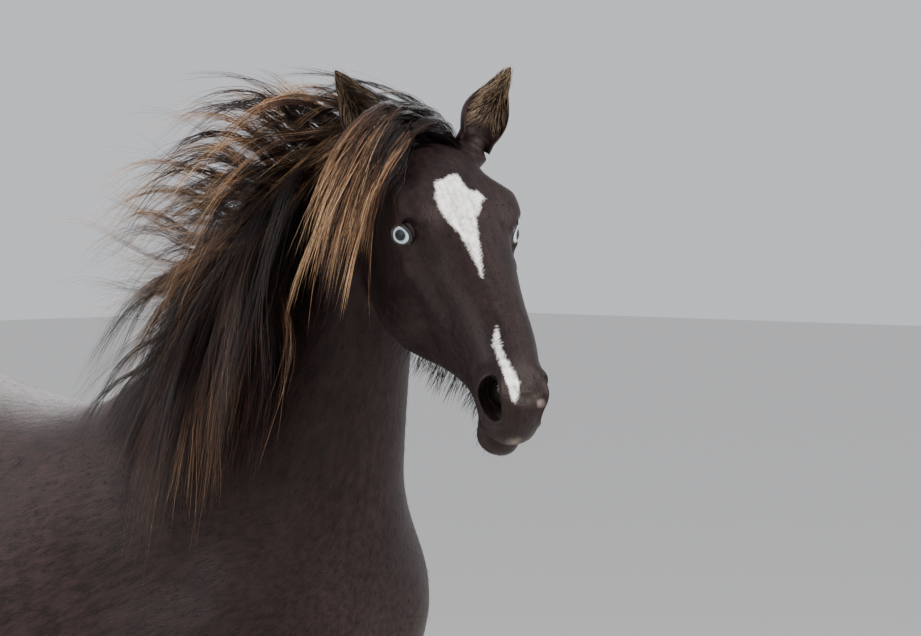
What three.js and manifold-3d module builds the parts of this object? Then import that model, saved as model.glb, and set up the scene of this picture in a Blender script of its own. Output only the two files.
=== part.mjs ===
// A life-size standing Icelandic horse with its head turned to its right and its mane blown back by the wind.
// Millimetres, +X towards the horse's front, +Y to its left, +Z up, standing on z = 0.
// One smooth field, a blend of tapered lofts and rounded masses, describes the whole body. Each node is that field
// meshed between thin cuts. Locks of hair are flat tapered strips that leave the skin and bend with the wind.
import * as THREE from "three";
import { mergeVertices } from "three/addons/utils/BufferGeometryUtils.js";
import Module from "manifold-3d";

const wasm = await Module();
wasm.setup();
const V = (x, y, z) => new THREE.Vector3(x, y, z);
const DEG = Math.PI / 180;

// Driving dimensions
const WITHERS_HEIGHT = 1370; // withers above the floor
const BACK_HEIGHT = 1285;
const CROUP_HEIGHT = 1335;
const HEAD_PITCH = 38.5 * DEG; // face line below the horizontal
const HEAD_YAW = -20.5 * DEG; // turned to the right
const HEAD_SCALE = [0.95, 1.1, 0.94]; // of the head's charts: length, depth, width
const POLL = V(852, -62, 1705); // top of the head, between the ears
const NECK_BASE = V(430, 0, 1090);
const GAP = 0.3; // between touching nodes
const EYE_RADIUS = 21;
const EAR_LENGTH = 128;
const FORE_TRACK = 126; // leg centre from the midline
const HIND_TRACK = 132;
const STANCE = { fore: { 1: -25, "-1": 35 }, hind: { 1: 45, "-1": -40 } }; // each hoof forward of square, by side

// Frames: an origin and three directions
function frame(origin, along, up, scale = [1, 1, 1]) {
  const a = along.clone().normalize();
  const side = up.clone().cross(a).normalize();
  return { origin, a, u: a.clone().cross(side).normalize(), s: side, scale };
}
function toWorld(f, t, u, s) {
  const [kt, ku, ks] = f.scale;
  return f.origin.clone().addScaledVector(f.a, t * kt).addScaledVector(f.u, u * ku).addScaledVector(f.s, s * ks);
}
function toLocal(f, p) {
  const d = p.clone().sub(f.origin);
  return [d.dot(f.a) / f.scale[0], d.dot(f.u) / f.scale[1], d.dot(f.s) / f.scale[2]];
}
const headAlong = V(
  Math.cos(HEAD_PITCH) * Math.cos(HEAD_YAW),
  Math.cos(HEAD_PITCH) * Math.sin(HEAD_YAW),
  -Math.sin(HEAD_PITCH),
);
const headUp = V(
  Math.sin(HEAD_PITCH) * Math.cos(HEAD_YAW),
  Math.sin(HEAD_PITCH) * Math.sin(HEAD_YAW),
  Math.cos(HEAD_PITCH),
);
const HEAD = frame(POLL, headAlong, headUp, HEAD_SCALE);
const NECK_TOP = toWorld(HEAD, 25, -160, 0);
const NECK = frame(NECK_BASE, NECK_TOP.clone().sub(NECK_BASE), V(-0.8, 0, 0.6));
const TRUNK = frame(V(0, 0, 0), V(1, 0, 0), V(0, 0, 1));
const UPRIGHT = frame(V(0, 0, 0), V(0, 0, 1), V(1, 0, 0)); // along = +Z, up = +X, side = -Y

// A loft's stations are smoothed into a dense table, read by its place along the axis
const TABLE_STEPS = 160;
function smoothed(stations) {
  const n = stations.length;
  const first = stations[0][0];
  const last = stations[n - 1][0];
  const rows = [];
  for (let i = 0; i <= TABLE_STEPS; i++) {
    const t = first + ((last - first) * i) / TABLE_STEPS;
    let k = 0;
    while (k < n - 2 && t > stations[k + 1][0]) k++;
    const p1 = stations[k];
    const p2 = stations[k + 1];
    const p0 = stations[Math.max(k - 1, 0)];
    const p3 = stations[Math.min(k + 2, n - 1)];
    const w = p2[0] - p1[0];
    const x = (t - p1[0]) / w;
    rows.push(
      p1.slice(1).map((_, c) => {
        const m1 = ((p2[c + 1] - p0[c + 1]) / (p2[0] - p0[0])) * w;
        const m2 = ((p3[c + 1] - p1[c + 1]) / (p3[0] - p1[0])) * w;
        const x2 = x * x;
        const x3 = x2 * x;
        return (
          (2 * x3 - 3 * x2 + 1) * p1[c + 1] + (x3 - 2 * x2 + x) * m1 + (-2 * x3 + 3 * x2) * p2[c + 1] + (x3 - x2) * m2
        );
      }),
    );
  }
  return { first, last, rows };
}
// Stations hold: place, top, bottom, half width, height of the widest line, sideways shift
function loft({ in: f, stations, round, power = 2.2, blend }) {
  const { first, last, rows } = smoothed(stations);
  const at = (t, c) => {
    const x = ((Math.min(Math.max(t, first), last) - first) / (last - first)) * TABLE_STEPS;
    const i = Math.min(Math.floor(x), TABLE_STEPS - 1);
    return rows[i][c] + (rows[i + 1][c] - rows[i][c]) * (x - i);
  };
  const distance = (p) => {
    const [t, u, s] = toLocal(f, p);
    const over = t < first ? t - first : t > last ? t - last : 0;
    const widest = at(t, 3);
    const du = u - widest;
    const ds = s - at(t, 4);
    const reach = du > 0 ? at(t, 0) - widest : widest - at(t, 1);
    const r =
      (Math.abs(du / reach) ** power + Math.abs(ds / at(t, 2)) ** power + Math.abs(over / round) ** power) **
      (1 / power);
    const q = Math.hypot(du, ds, over);
    return r < 1e-6 ? -Math.min(reach, at(t, 2)) : q * (1 - 1 / r);
  };
  return { distance, blend };
}
// A rounded mass: centre, three radii in its frame's directions, tilted about the side direction, then turned about up
function mass({ in: f, at: [t, u, s], radii, tilt = 0, turn = 0, blend }) {
  const centre = toWorld(f, t, u, s);
  const a = f.a.clone().applyAxisAngle(f.s, tilt * DEG).applyAxisAngle(f.u, turn * DEG);
  const up = f.u.clone().applyAxisAngle(f.s, tilt * DEG);
  const own = frame(centre, a, up);
  const distance = (p) => {
    const d = toLocal(own, p);
    const r = Math.hypot(d[0] / radii[0], d[1] / radii[1], d[2] / radii[2]);
    return r < 1e-6 ? -Math.min(...radii) : Math.hypot(...d) * (1 - 1 / r);
  };
  return { distance, blend };
}
// A tapered round bar between two points
function bar({ in: f, from, to, radii: [ra, rb], blend }) {
  const a = toWorld(f, ...from);
  const ab = toWorld(f, ...to).sub(a);
  const distance = (p) => {
    const ap = p.clone().sub(a);
    const x = Math.min(Math.max(ap.dot(ab) / ab.lengthSq(), 0), 1);
    return ap.addScaledVector(ab, -x).length() - ra - (rb - ra) * x;
  };
  return { distance, blend };
}
function smoothMin(a, b, k) {
  const h = Math.max(k - Math.abs(a - b), 0) / k;
  return Math.min(a, b) - (h * h * k) / 4;
}
const smoothMax = (a, b, k) => -smoothMin(-a, -b, k);
const both = (make) => [make(1), make(-1)];

// Trunk
const trunk = loft({
  in: TRUNK,
  round: 62,
  power: 2.15,
  blend: 40,
  stations: [
    [-650, 1222, 1010, 118, 1125, 0],
    [-560, 1288, 890, 200, 1100, 0],
    [-400, CROUP_HEIGHT, 825, 236, 1080, 0],
    [-260, 1322, 770, 250, 1045, 0],
    [-100, 1296, 728, 264, 1005, 0],
    [50, BACK_HEIGHT, 712, 268, 985, 0],
    [180, 1304, 716, 252, 985, 0],
    [290, 1352, 728, 222, 985, 0],
    [370, WITHERS_HEIGHT, 748, 200, 985, 0],
    [480, 1320, 786, 185, 1000, 0],
    [580, 1220, 850, 160, 1010, 0],
    [628, 1150, 905, 135, 1020, 0],
  ],
});
const trunkMasses = [
  ...both((s) => mass({ in: TRUNK, at: [395, 1110, 128 * s], radii: [115, 230, 68], tilt: 24, blend: 60 })),
  ...both((s) => mass({ in: TRUNK, at: [568, 1005, 118 * s], radii: [80, 105, 74], tilt: 10, blend: 60 })),
  ...both((s) => mass({ in: TRUNK, at: [440, 920, 150 * s], radii: [125, 105, 62], tilt: -12, blend: 60 })),
  ...both((s) => mass({ in: TRUNK, at: [625, 950, 66 * s], radii: [62, 105, 66], tilt: 12, blend: 45 })),
  ...both((s) => mass({ in: TRUNK, at: [-410, 1150, 132 * s], radii: [190, 160, 108], tilt: -14, blend: 60 })),
  ...both((s) => mass({ in: TRUNK, at: [-480, 985, 142 * s], radii: [150, 205, 92], tilt: 14, blend: 60 })),
  ...both((s) => mass({ in: TRUNK, at: [-618, 1065, 84 * s], radii: [92, 150, 80], tilt: 8, blend: 50 })),
  ...both((s) => mass({ in: TRUNK, at: [-330, 880, 158 * s], radii: [74, 100, 62], tilt: -18, blend: 60 })),
];

// Neck
const neck = loft({
  in: NECK,
  round: 50,
  power: 2.05,
  blend: 100,
  stations: [
    [60, 262, -255, 150, -20, 0],
    [180, 228, -212, 132, -25, -3],
    [300, 196, -156, 112, -15, -8],
    [420, 160, -100, 95, 5, -10],
    [515, 126, -60, 84, 20, -8],
    [600, 90, -50, 74, 15, -4],
    [690, 50, -50, 58, 0, 0],
  ],
});

// Head, in its own frame: along the face, outward from the face, to the left
const EYE = [190, -42, 78];
const EAR_ROOT = (s) => [38, -14, 70 * s];
const EAR_TIP = (s) => (s > 0 ? [-14, 80, 122] : [-42, 46, -132]); // the right ear leans further back
const earAt = (s, x) => [0, 1, 2].map((c) => EAR_ROOT(s)[c] + x * (EAR_TIP(s)[c] - EAR_ROOT(s)[c]));
const EAR_CUT = 34; // from the ear's root to where the ear's own node starts
const headMasses = [
  loft({
    in: HEAD,
    round: 34,
    power: 2.35,
    stations: [
      [12, 2, -120, 56, -48, 0],
      [70, 15, -135, 76, -50, 0],
      [130, 22, -145, 90, -50, 0],
      [185, 19, -145, 92, -50, 0],
      [240, 8, -140, 78, -52, 0],
      [310, -5, -132, 61, -58, 0],
      [380, -15, -124, 52, -66, 0],
      [440, -23, -118, 49, -72, 0],
      [490, -31, -120, 50, -78, 0],
      [526, -47, -122, 46, -86, 0],
    ],
  }),
  loft({
    in: HEAD,
    round: 24,
    power: 2.1,
    blend: 30,
    stations: [
      [84, -70, -196, 50, -130, 0],
      [120, -80, -236, 55, -150, 0],
      [170, -85, -243, 55, -160, 0],
      [235, -90, -218, 46, -150, 0],
      [305, -92, -184, 37, -140, 0],
      [375, -95, -158, 32, -128, 0],
      [440, -98, -145, 30, -122, 0],
      [500, -104, -152, 32, -126, 0],
    ],
  }),
  ...both((s) => mass({ in: HEAD, at: [150, -128, 46 * s], radii: [98, 92, 30], blend: 26 })),
  ...both((s) => mass({ in: HEAD, at: [172, -12, 66 * s], radii: [52, 26, 30], tilt: 8, blend: 24 })),
  ...both((s) => bar({ in: HEAD, from: [120, -48, 80 * s], to: [232, -68, 74 * s], radii: [16, 13], blend: 18 })),
  ...both((s) => bar({ in: HEAD, from: [232, -68, 74 * s], to: [325, -84, 53 * s], radii: [13, 8], blend: 18 })),
  ...both((s) => mass({ in: HEAD, at: [506, -66, 34 * s], radii: [40, 29, 24], tilt: -14, blend: 18 })),
  mass({ in: HEAD, at: [534, -98, 0], radii: [30, 28, 42], tilt: -10, blend: 18 }),
  mass({ in: HEAD, at: [504, -141, 0], radii: [30, 20, 30], tilt: 6, blend: 14 }),
  ...both((s) => mass({ in: HEAD, at: [EYE[0], EYE[1], EYE[2] * s], radii: [31, 25, 23], blend: 12 })),
  ...both((s) => bar({ in: HEAD, from: EAR_ROOT(s), to: earAt(s, 0.26), radii: [31, 25], blend: 22 })),
];
const headHollows = [
  ...both((s) => mass({ in: HEAD, at: [118, 12, 84 * s], radii: [26, 16, 16], blend: 20 })),
  ...both((s) => mass({ in: HEAD, at: [268, -30, 84 * s], radii: [70, 22, 14], tilt: 8, blend: 24 })),
  ...both((s) => mass({ in: HEAD, at: [400, -112, 62 * s], radii: [70, 18, 16], tilt: 4, blend: 22 })),
  ...both((s) => bar({ in: HEAD, from: [452, -124, 44 * s], to: [520, -124, 38 * s], radii: [2.5, 3.5], blend: 7 })),
  ...both((s) => bar({ in: HEAD, from: [520, -124, 38 * s], to: [545, -126, 0], radii: [3.5, 4], blend: 7 })),
];

// Legs: stations hold height, front, back, half width, centre line, and the shift from the track
const FORE_STATIONS = [
  [95, 512, 418, 44, 464, 0],
  [150, 488, 420, 33, 452, 0],
  [208, 472, 392, 37, 432, 0],
  [255, 464, 402, 30, 434, 0],
  [340, 464, 404, 28, 434, 0],
  [412, 474, 402, 37, 436, 0],
  [455, 484, 398, 45, 440, 0],
  [510, 476, 402, 42, 438, 0],
  [610, 480, 394, 47, 436, 4],
  [720, 494, 376, 58, 436, 9],
  [820, 508, 350, 68, 432, 14],
  [900, 520, 335, 74, 428, 18],
];
const HIND_STATIONS = [
  [95, -596, -690, 44, -644, 0],
  [152, -620, -694, 33, -657, 0],
  [210, -636, -722, 38, -680, 0],
  [270, -646, -712, 29, -678, 0],
  [380, -648, -716, 29, -680, 0],
  [470, -636, -726, 37, -680, 0],
  [530, -612, -738, 42, -675, 0],
  [580, -574, -746, 41, -660, 0],
  [640, -510, -690, 46, -605, 3],
  [720, -420, -636, 60, -535, 8],
  [810, -338, -590, 78, -470, 16],
  [900, -290, -560, 88, -430, 22],
];
function leg(stations, track, side, stance) {
  const placed = stations.map(([z, front, back, half, centre, shift]) => {
    const lean = stance * Math.max(0, 1 - z / 800);
    return [z, front + lean, back + lean, half, centre + lean, -(track + shift) * side];
  });
  return loft({ in: UPRIGHT, stations: placed, round: 40, power: 2.15, blend: 45 });
}
const LEGS = [
  ...both((side) => ({ end: "fore", side, track: FORE_TRACK, stations: FORE_STATIONS })),
  ...both((side) => ({ end: "hind", side, track: HIND_TRACK, stations: HIND_STATIONS })),
].map((l) => {
  const stance = STANCE[l.end][l.side];
  return { ...l, stance, form: leg(l.stations, l.track, l.side, stance) };
});

// The whole skin as one signed field, negative inside
function headField(p) {
  let d = headMasses[0].distance(p);
  for (const m of headMasses.slice(1)) d = smoothMin(d, m.distance(p), m.blend);
  for (const m of headHollows) d = smoothMax(d, -m.distance(p), m.blend);
  return d;
}
const DOCK = frame(V(-628, 0, 1212), V(-0.88, -0.03, -0.47), V(-0.47, 0, 0.88));
const DOCK_LENGTH = 250;
const dock = bar({ in: DOCK, from: [0, 0, 0], to: [DOCK_LENGTH, 0, 0], radii: [42, 22], blend: 35 });
const BODY_FORMS = [...trunkMasses, neck, ...LEGS.map((l) => l.form), dock];
function skin(p) {
  let d = trunk.distance(p);
  for (const m of BODY_FORMS) d = smoothMin(d, m.distance(p), m.blend);
  return p.distanceTo(POLL) > 900 ? d : smoothMin(d, headField(p), 34);
}
function outward(p, field = skin, step = 2) {
  const slope = (axis) => field(p.clone().addScaledVector(axis, step)) - field(p.clone().addScaledVector(axis, -step));
  return V(slope(V(1, 0, 0)), slope(V(0, 1, 0)), slope(V(0, 0, 1))).normalize();
}

// Solids: closed meshes handed to the Boolean library and back
function solid(positions, triangles) {
  return new wasm.Manifold(
    new wasm.Mesh({
      numProp: 3,
      vertProperties: new Float32Array(positions.flatMap((p) => [p.x, p.y, p.z])),
      triVerts: new Uint32Array(triangles.flat()),
    }),
  );
}
function solidOf(geometry, matrix = new THREE.Matrix4()) {
  const bare = geometry.clone().applyMatrix4(matrix);
  bare.deleteAttribute("normal");
  bare.deleteAttribute("uv");
  const merged = mergeVertices(bare, 1e-3);
  return new wasm.Manifold(
    new wasm.Mesh({
      numProp: 3,
      vertProperties: new Float32Array(merged.attributes.position.array),
      triVerts: new Uint32Array(merged.index.array),
    }),
  );
}
function largest(shape) {
  return shape.decompose().reduce((a, b) => (b.volume() > a.volume() ? b : a));
}
function meshOf(name, shape, material) {
  const m = largest(shape).getMesh();
  const geometry = new THREE.BufferGeometry();
  geometry.setAttribute("position", new THREE.BufferAttribute(new Float32Array(m.vertProperties), 3));
  geometry.setIndex(new THREE.BufferAttribute(new Uint32Array(m.triVerts), 1));
  geometry.computeVertexNormals();
  const mesh = new THREE.Mesh(geometry, material);
  mesh.name = name;
  return mesh;
}
const SLAB = 3000; // larger than the horse, for cutting away one side of a plane
function halfSpace(point, normal) {
  const turned = new THREE.Quaternion().setFromUnitVectors(V(0, 0, 1), normal);
  const centre = point.clone().addScaledVector(normal, SLAB / 2);
  return solidOf(new THREE.BoxGeometry(SLAB, SLAB, SLAB), new THREE.Matrix4().compose(centre, turned, V(1, 1, 1)));
}
function onSkin(from, direction, reach, field = skin) {
  let low = 0;
  let high = reach;
  const step = reach / 24;
  for (let r = step; r <= reach; r += step) {
    if (field(from.clone().addScaledVector(direction, r)) > 0) {
      high = r;
      low = r - step;
      break;
    }
  }
  for (let i = 0; i < 14; i++) {
    const mid = (low + high) / 2;
    if (field(from.clone().addScaledVector(direction, mid)) > 0) high = mid;
    else low = mid;
  }
  return from.clone().addScaledVector(direction, (low + high) / 2);
}
// Rings of rays cast from an axis to the field, closed at both ends. A ring is a centre and two directions.
function ringSolid(rings, sides, reach, tip, field = skin) {
  const points = [];
  const faces = [];
  for (const { centre, a, b } of rings) {
    for (let j = 0; j < sides; j++) {
      const angle = (2 * Math.PI * j) / sides;
      const ray = a.clone().multiplyScalar(Math.cos(angle)).addScaledVector(b, Math.sin(angle));
      points.push(onSkin(centre, ray, reach, field));
    }
  }
  for (let i = 0; i + 1 < rings.length; i++) {
    for (let j = 0; j < sides; j++) {
      const k = (j + 1) % sides;
      const [p, q, r, s] = [i * sides + j, i * sides + k, (i + 1) * sides + k, (i + 1) * sides + j];
      faces.push([p, q, r], [p, r, s]);
    }
  }
  const start = points.push(rings[0].centre.clone()) - 1;
  const end = points.push(tip ?? rings[rings.length - 1].centre.clone()) - 1;
  const base = (rings.length - 1) * sides;
  for (let j = 0; j < sides; j++) {
    const k = (j + 1) % sides;
    faces.push([start, k, j], [end, base + j, base + k]);
  }
  const made = solid(points, faces);
  if (made.volume() > 0) return made;
  return solid(points, faces.map(([p, q, r]) => [p, r, q]));
}
// The field inside a box, meshed by surface nets: one vertex in each cell that the surface crosses
function netSolid(field, low, high, cell) {
  const count = [0, 1, 2].map((c) => Math.ceil((high[c] - low[c]) / cell) + 1);
  const index = (i, j, k) => (i * count[1] + j) * count[2] + k;
  const values = new Float32Array(count[0] * count[1] * count[2]);
  const place = (i, j, k) => V(low[0] + i * cell, low[1] + j * cell, low[2] + k * cell);
  for (let i = 0; i < count[0]; i++)
    for (let j = 0; j < count[1]; j++)
      for (let k = 0; k < count[2]; k++) {
        const edge = i * j * k === 0 || i === count[0] - 1 || j === count[1] - 1 || k === count[2] - 1;
        values[index(i, j, k)] = edge ? cell : field(place(i, j, k));
      }
  const corner = [0, 1, 2, 3, 4, 5, 6, 7].map((c) => [c & 1, (c >> 1) & 1, (c >> 2) & 1]);
  const edges = [];
  for (let a = 0; a < 8; a++) for (let b = a + 1; b < 8; b++) if ([1, 2, 4].includes(a ^ b)) edges.push([a, b]);
  const vertex = new Map();
  const points = [];
  const faces = [];
  for (let i = 0; i + 1 < count[0]; i++)
    for (let j = 0; j + 1 < count[1]; j++)
      for (let k = 0; k + 1 < count[2]; k++) {
        const v = corner.map(([x, y, z]) => values[index(i + x, j + y, k + z)]);
        const sum = V(0, 0, 0);
        let crossings = 0;
        for (const [a, b] of edges) {
          if (v[a] < 0 === v[b] < 0) continue;
          const x = v[a] / (v[a] - v[b]);
          sum.add(V(...corner[a]).lerp(V(...corner[b]), x));
          crossings++;
        }
        if (!crossings) continue;
        const p = place(i, j, k).addScaledVector(sum, cell / crossings);
        for (let n = 0; n < 3; n++) {
          const d = field(p);
          const g = outward(p, field);
          p.addScaledVector(g, -Math.max(-cell / 3, Math.min(cell / 3, d)));
        }
        vertex.set(index(i, j, k), points.push(p) - 1);
      }
  const unit = [[1, 0, 0], [0, 1, 0], [0, 0, 1]];
  for (let i = 1; i + 1 < count[0]; i++)
    for (let j = 1; j + 1 < count[1]; j++)
      for (let k = 1; k + 1 < count[2]; k++)
        for (let c = 0; c < 3; c++) {
          const here = values[index(i, j, k)];
          const there = values[index(i + unit[c][0], j + unit[c][1], k + unit[c][2])];
          if (here < 0 === there < 0) continue;
          const b = unit[(c + 1) % 3];
          const d = unit[(c + 2) % 3];
          const around = [[0, 0], [1, 0], [1, 1], [0, 1]].map(([x, y]) =>
            vertex.get(index(i - x * b[0] - y * d[0], j - x * b[1] - y * d[1], k - x * b[2] - y * d[2])),
          );
          const [p, q, r, s] = here < 0 ? around : around.reverse();
          faces.push([p, q, r], [p, r, s]);
        }
  const made = solid(points, faces);
  return made.volume() > 0 ? made : solid(points, faces.map(([p, q, r]) => [p, r, q]));
}

// Cuts between nodes
const NECK_CUT = 200; // along the neck's axis
const HEAD_CUT_TILT = 38 * DEG;
const HEAD_CUT_NORMAL = HEAD.a.clone().applyAxisAngle(HEAD.s, -HEAD_CUT_TILT);
const HEAD_CUT_POINT = toWorld(HEAD, -42, -60, 0);
const THROAT_CUT = -258; // the head's cut under the jaw, outward from the face
const CUTS = { fore: { top: 705, joint: 455, from: 250, to: 900 }, hind: { top: 760, joint: 555, from: -900, to: -290 } };
const CORONET = 96;
const DOCK_CUT = 76;

const MATERIALS = {
  coat: new THREE.MeshStandardMaterial({ color: 0x2a201d, roughness: 0.75, metalness: 0 }),
  hair: new THREE.MeshStandardMaterial({ color: 0x6b4428, roughness: 0.7, metalness: 0 }),
  horn: new THREE.MeshStandardMaterial({ color: 0x2b2724, roughness: 0.55, metalness: 0 }),
  eye: new THREE.MeshStandardMaterial({ color: 0xa9c3d6, roughness: 0.1, metalness: 0 }),
};
const part = new THREE.Group();
const addNode = (name, shape, material) => part.add(meshOf(name, shape, material));

// Trunk node, trimmed at the neck, the four legs and the dock
const TRUNK_CELL = 59;
const OVERRUN = 40; // the field is meshed this far past a cut, then trimmed on it
function trunkField(p) {
  const past = toLocal(NECK, p)[0] - NECK_CUT - OVERRUN;
  const end = Object.values(CUTS).find((c) => p.x > c.from && p.x < c.to);
  const foot = end ? end.top - OVERRUN - p.z : -OVERRUN;
  return Math.max(skin(p), past, foot);
}
function boxSolid(low, high) {
  const size = high.clone().sub(low);
  const middle = low.clone().add(high).multiplyScalar(0.5);
  return solidOf(new THREE.BoxGeometry(size.x, size.y, size.z), new THREE.Matrix4().setPosition(middle));
}
function makeTrunk() {
  let body = netSolid(trunkField, [-930, -360, 600], [860, 360, 1460], TRUNK_CELL);
  body = body.subtract(halfSpace(toWorld(NECK, NECK_CUT - GAP / 2, 0, 0), NECK.a));
  for (const c of Object.values(CUTS)) {
    body = body.subtract(boxSolid(V(c.from, -400, 500), V(c.to, 400, c.top + GAP / 2)));
  }
  const dockBox = new THREE.Matrix4().makeBasis(DOCK.a, DOCK.s, DOCK.u).setPosition(toWorld(DOCK, DOCK_CUT + 150, 0, 0));
  return body.subtract(solidOf(new THREE.BoxGeometry(300, 100, 100), dockBox));
}
addNode("torso", makeTrunk(), MATERIALS.coat);

// Neck node, from the cut above the shoulders to the two cuts behind and under the jaw
const NECK_CELL = 42;
const aheadOfCut = (p) => HEAD_CUT_NORMAL.dot(p.clone().sub(HEAD_CUT_POINT));
const aboveThroat = (p) => toLocal(HEAD, p)[1] - THROAT_CUT;
function headWedge(shift) {
  const behind = halfSpace(HEAD_CUT_POINT.clone().addScaledVector(HEAD_CUT_NORMAL, shift), HEAD_CUT_NORMAL);
  return behind.intersect(halfSpace(toWorld(HEAD, 0, THROAT_CUT + shift, 0), HEAD.u));
}
function makeNeck() {
  const field = (p) =>
    Math.max(
      skin(p),
      NECK_CUT - OVERRUN - toLocal(NECK, p)[0],
      Math.min(aheadOfCut(p), aboveThroat(p)) - OVERRUN,
    );
  return netSolid(field, [120, -290, 1000], [940, 290, 1840], NECK_CELL)
    .subtract(halfSpace(toWorld(NECK, NECK_CUT + GAP / 2, 0, 0), NECK.a.clone().negate()))
    .subtract(headWedge(-GAP / 2));
}
let neckNode = makeNeck();

// Head node
const HEAD_SIDES = 20;
const MUZZLE_END = 546;
const headMiddle = (l) => -92 - 22 * Math.exp(-(((l - 90) / 110) ** 2));
function makeHead() {
  const rings = [];
  for (let l = 5; l < MUZZLE_END; l += Math.abs(l - EYE[0]) < 44 || l > 440 ? 12.5 : 23) {
    const tilt = HEAD_CUT_TILT * Math.max(0, 1 - Math.max(l - 5, 0) / 160);
    const a = HEAD.u.clone().applyAxisAngle(HEAD.s, -tilt);
    const centre = toWorld(HEAD, l, headMiddle(l), 0);
    if (!rings.length) {
      centre.addScaledVector(HEAD_CUT_NORMAL, -HEAD_CUT_NORMAL.dot(centre.clone().sub(HEAD_CUT_POINT)) + GAP / 2);
    }
    rings.push({ centre, a, b: HEAD.s });
  }
  const tip = onSkin(toWorld(HEAD, MUZZLE_END - 20, -98, 0), HEAD.a, 120);
  return ringSolid(rings, HEAD_SIDES, 300, tip).intersect(headWedge(GAP / 2));
}
let head = makeHead();

// Eyes: a ball in a socket behind an almond opening between the lids
const eyeOut = (s) => HEAD.a.clone().multiplyScalar(0.45).addScaledVector(HEAD.u, 0.28).addScaledVector(HEAD.s, 0.85 * s);
for (const [name, s] of [["left", 1], ["right", -1]]) {
  const centre = toWorld(HEAD, EYE[0], EYE[1], EYE[2] * s);
  const ball = (radius) => solidOf(new THREE.SphereGeometry(radius, 12, 8), new THREE.Matrix4().setPosition(centre));
  const lids = frame(centre, HEAD.a, eyeOut(s));
  const almond = new THREE.Matrix4().makeBasis(lids.a, lids.s, lids.u);
  almond.setPosition(toWorld(lids, 0, EYE_RADIUS, 0)).scale(V(17, 11.5, 16));
  head = head.subtract(ball(EYE_RADIUS + GAP)).subtract(solidOf(new THREE.SphereGeometry(1, 12, 8), almond));
  addNode(`eye_${name}`, ball(EYE_RADIUS), MATERIALS.eye);
  // Nostril
  const wing = frame(toWorld(HEAD, 520, -68, 56 * s), HEAD.a.clone().addScaledVector(HEAD.u, -0.55), HEAD.u);
  const hole = new THREE.Matrix4().makeBasis(wing.a, wing.s, wing.u).setPosition(wing.origin).scale(V(19, 17, 11));
  head = head.subtract(solidOf(new THREE.SphereGeometry(1, 12, 8), hole));
}

// Ears: a leaf-shaped cup on a short root of the head
const EAR_SIDES = 6;
const EAR_RINGS = 8;
function earSolid(s) {
  const root = toWorld(HEAD, ...EAR_ROOT(s));
  const up = toWorld(HEAD, ...EAR_TIP(s)).sub(root).normalize();
  const forward = HEAD.a.clone().multiplyScalar(0.55).addScaledVector(HEAD.u, 0.45).addScaledVector(HEAD.s, 0.6 * s);
  const f = frame(root, up, forward); // u opens forwards, s across
  const points = [];
  const faces = [];
  const perRing = 2 * (EAR_SIDES + 1);
  for (let i = 0; i < EAR_RINGS; i++) {
    const x = i / EAR_RINGS;
    const half = 25 + 6 * Math.sin(Math.PI * Math.min(1, x * 1.5)) - 29 * x ** 2.4;
    const spread = (118 - 40 * x) * DEG;
    const wall = 5 - 2 * x;
    const lean = 16 * Math.sin(Math.PI * x * 0.9);
    for (let j = 0; j < perRing; j++) {
      const inner = j > EAR_SIDES;
      const step = inner ? 2 * EAR_SIDES + 1 - j : j;
      const angle = -spread + (2 * spread * step) / EAR_SIDES;
      const r = half - (inner ? wall : 0);
      points.push(
        toWorld(f, EAR_CUT + GAP + (EAR_LENGTH - EAR_CUT) * x, -Math.cos(angle) * r * 0.8 - lean, Math.sin(angle) * r),
      );
    }
  }
  const tip = points.push(toWorld(f, EAR_LENGTH + 4, -6, 3 * s)) - 1;
  for (let i = 0; i + 1 < EAR_RINGS; i++) {
    for (let j = 0; j < perRing; j++) {
      const k = (j + 1) % perRing;
      const [p, q, r, t] = [i * perRing + j, i * perRing + k, (i + 1) * perRing + k, (i + 1) * perRing + j];
      faces.push([p, q, r], [p, r, t]);
    }
  }
  const top = (EAR_RINGS - 1) * perRing;
  for (let j = 0; j < perRing; j++) faces.push([top + j, top + ((j + 1) % perRing), tip]);
  for (let j = 0; j < EAR_SIDES; j++) {
    const [p, q, r, t] = [j, j + 1, perRing - 2 - j, perRing - 1 - j];
    faces.push([p, r, q], [p, t, r]);
  }
  const made = solid(points, faces);
  return made.volume() > 0 ? made : solid(points, faces.map(([p, q, r]) => [p, r, q]));
}
for (const [name, s] of [["left", 1], ["right", -1]]) {
  const root = toWorld(HEAD, ...EAR_ROOT(s));
  const up = toWorld(HEAD, ...EAR_TIP(s)).sub(root).normalize();
  const turned = new THREE.Quaternion().setFromUnitVectors(V(0, 0, 1), up);
  const above = root.clone().addScaledVector(up, EAR_CUT + 100);
  const block = new THREE.Matrix4().compose(above, turned, V(1, 1, 1));
  head = head.subtract(solidOf(new THREE.BoxGeometry(130, 130, 200), block));
  addNode(`ear_${name}`, earSolid(s), MATERIALS.coat);
}

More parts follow.
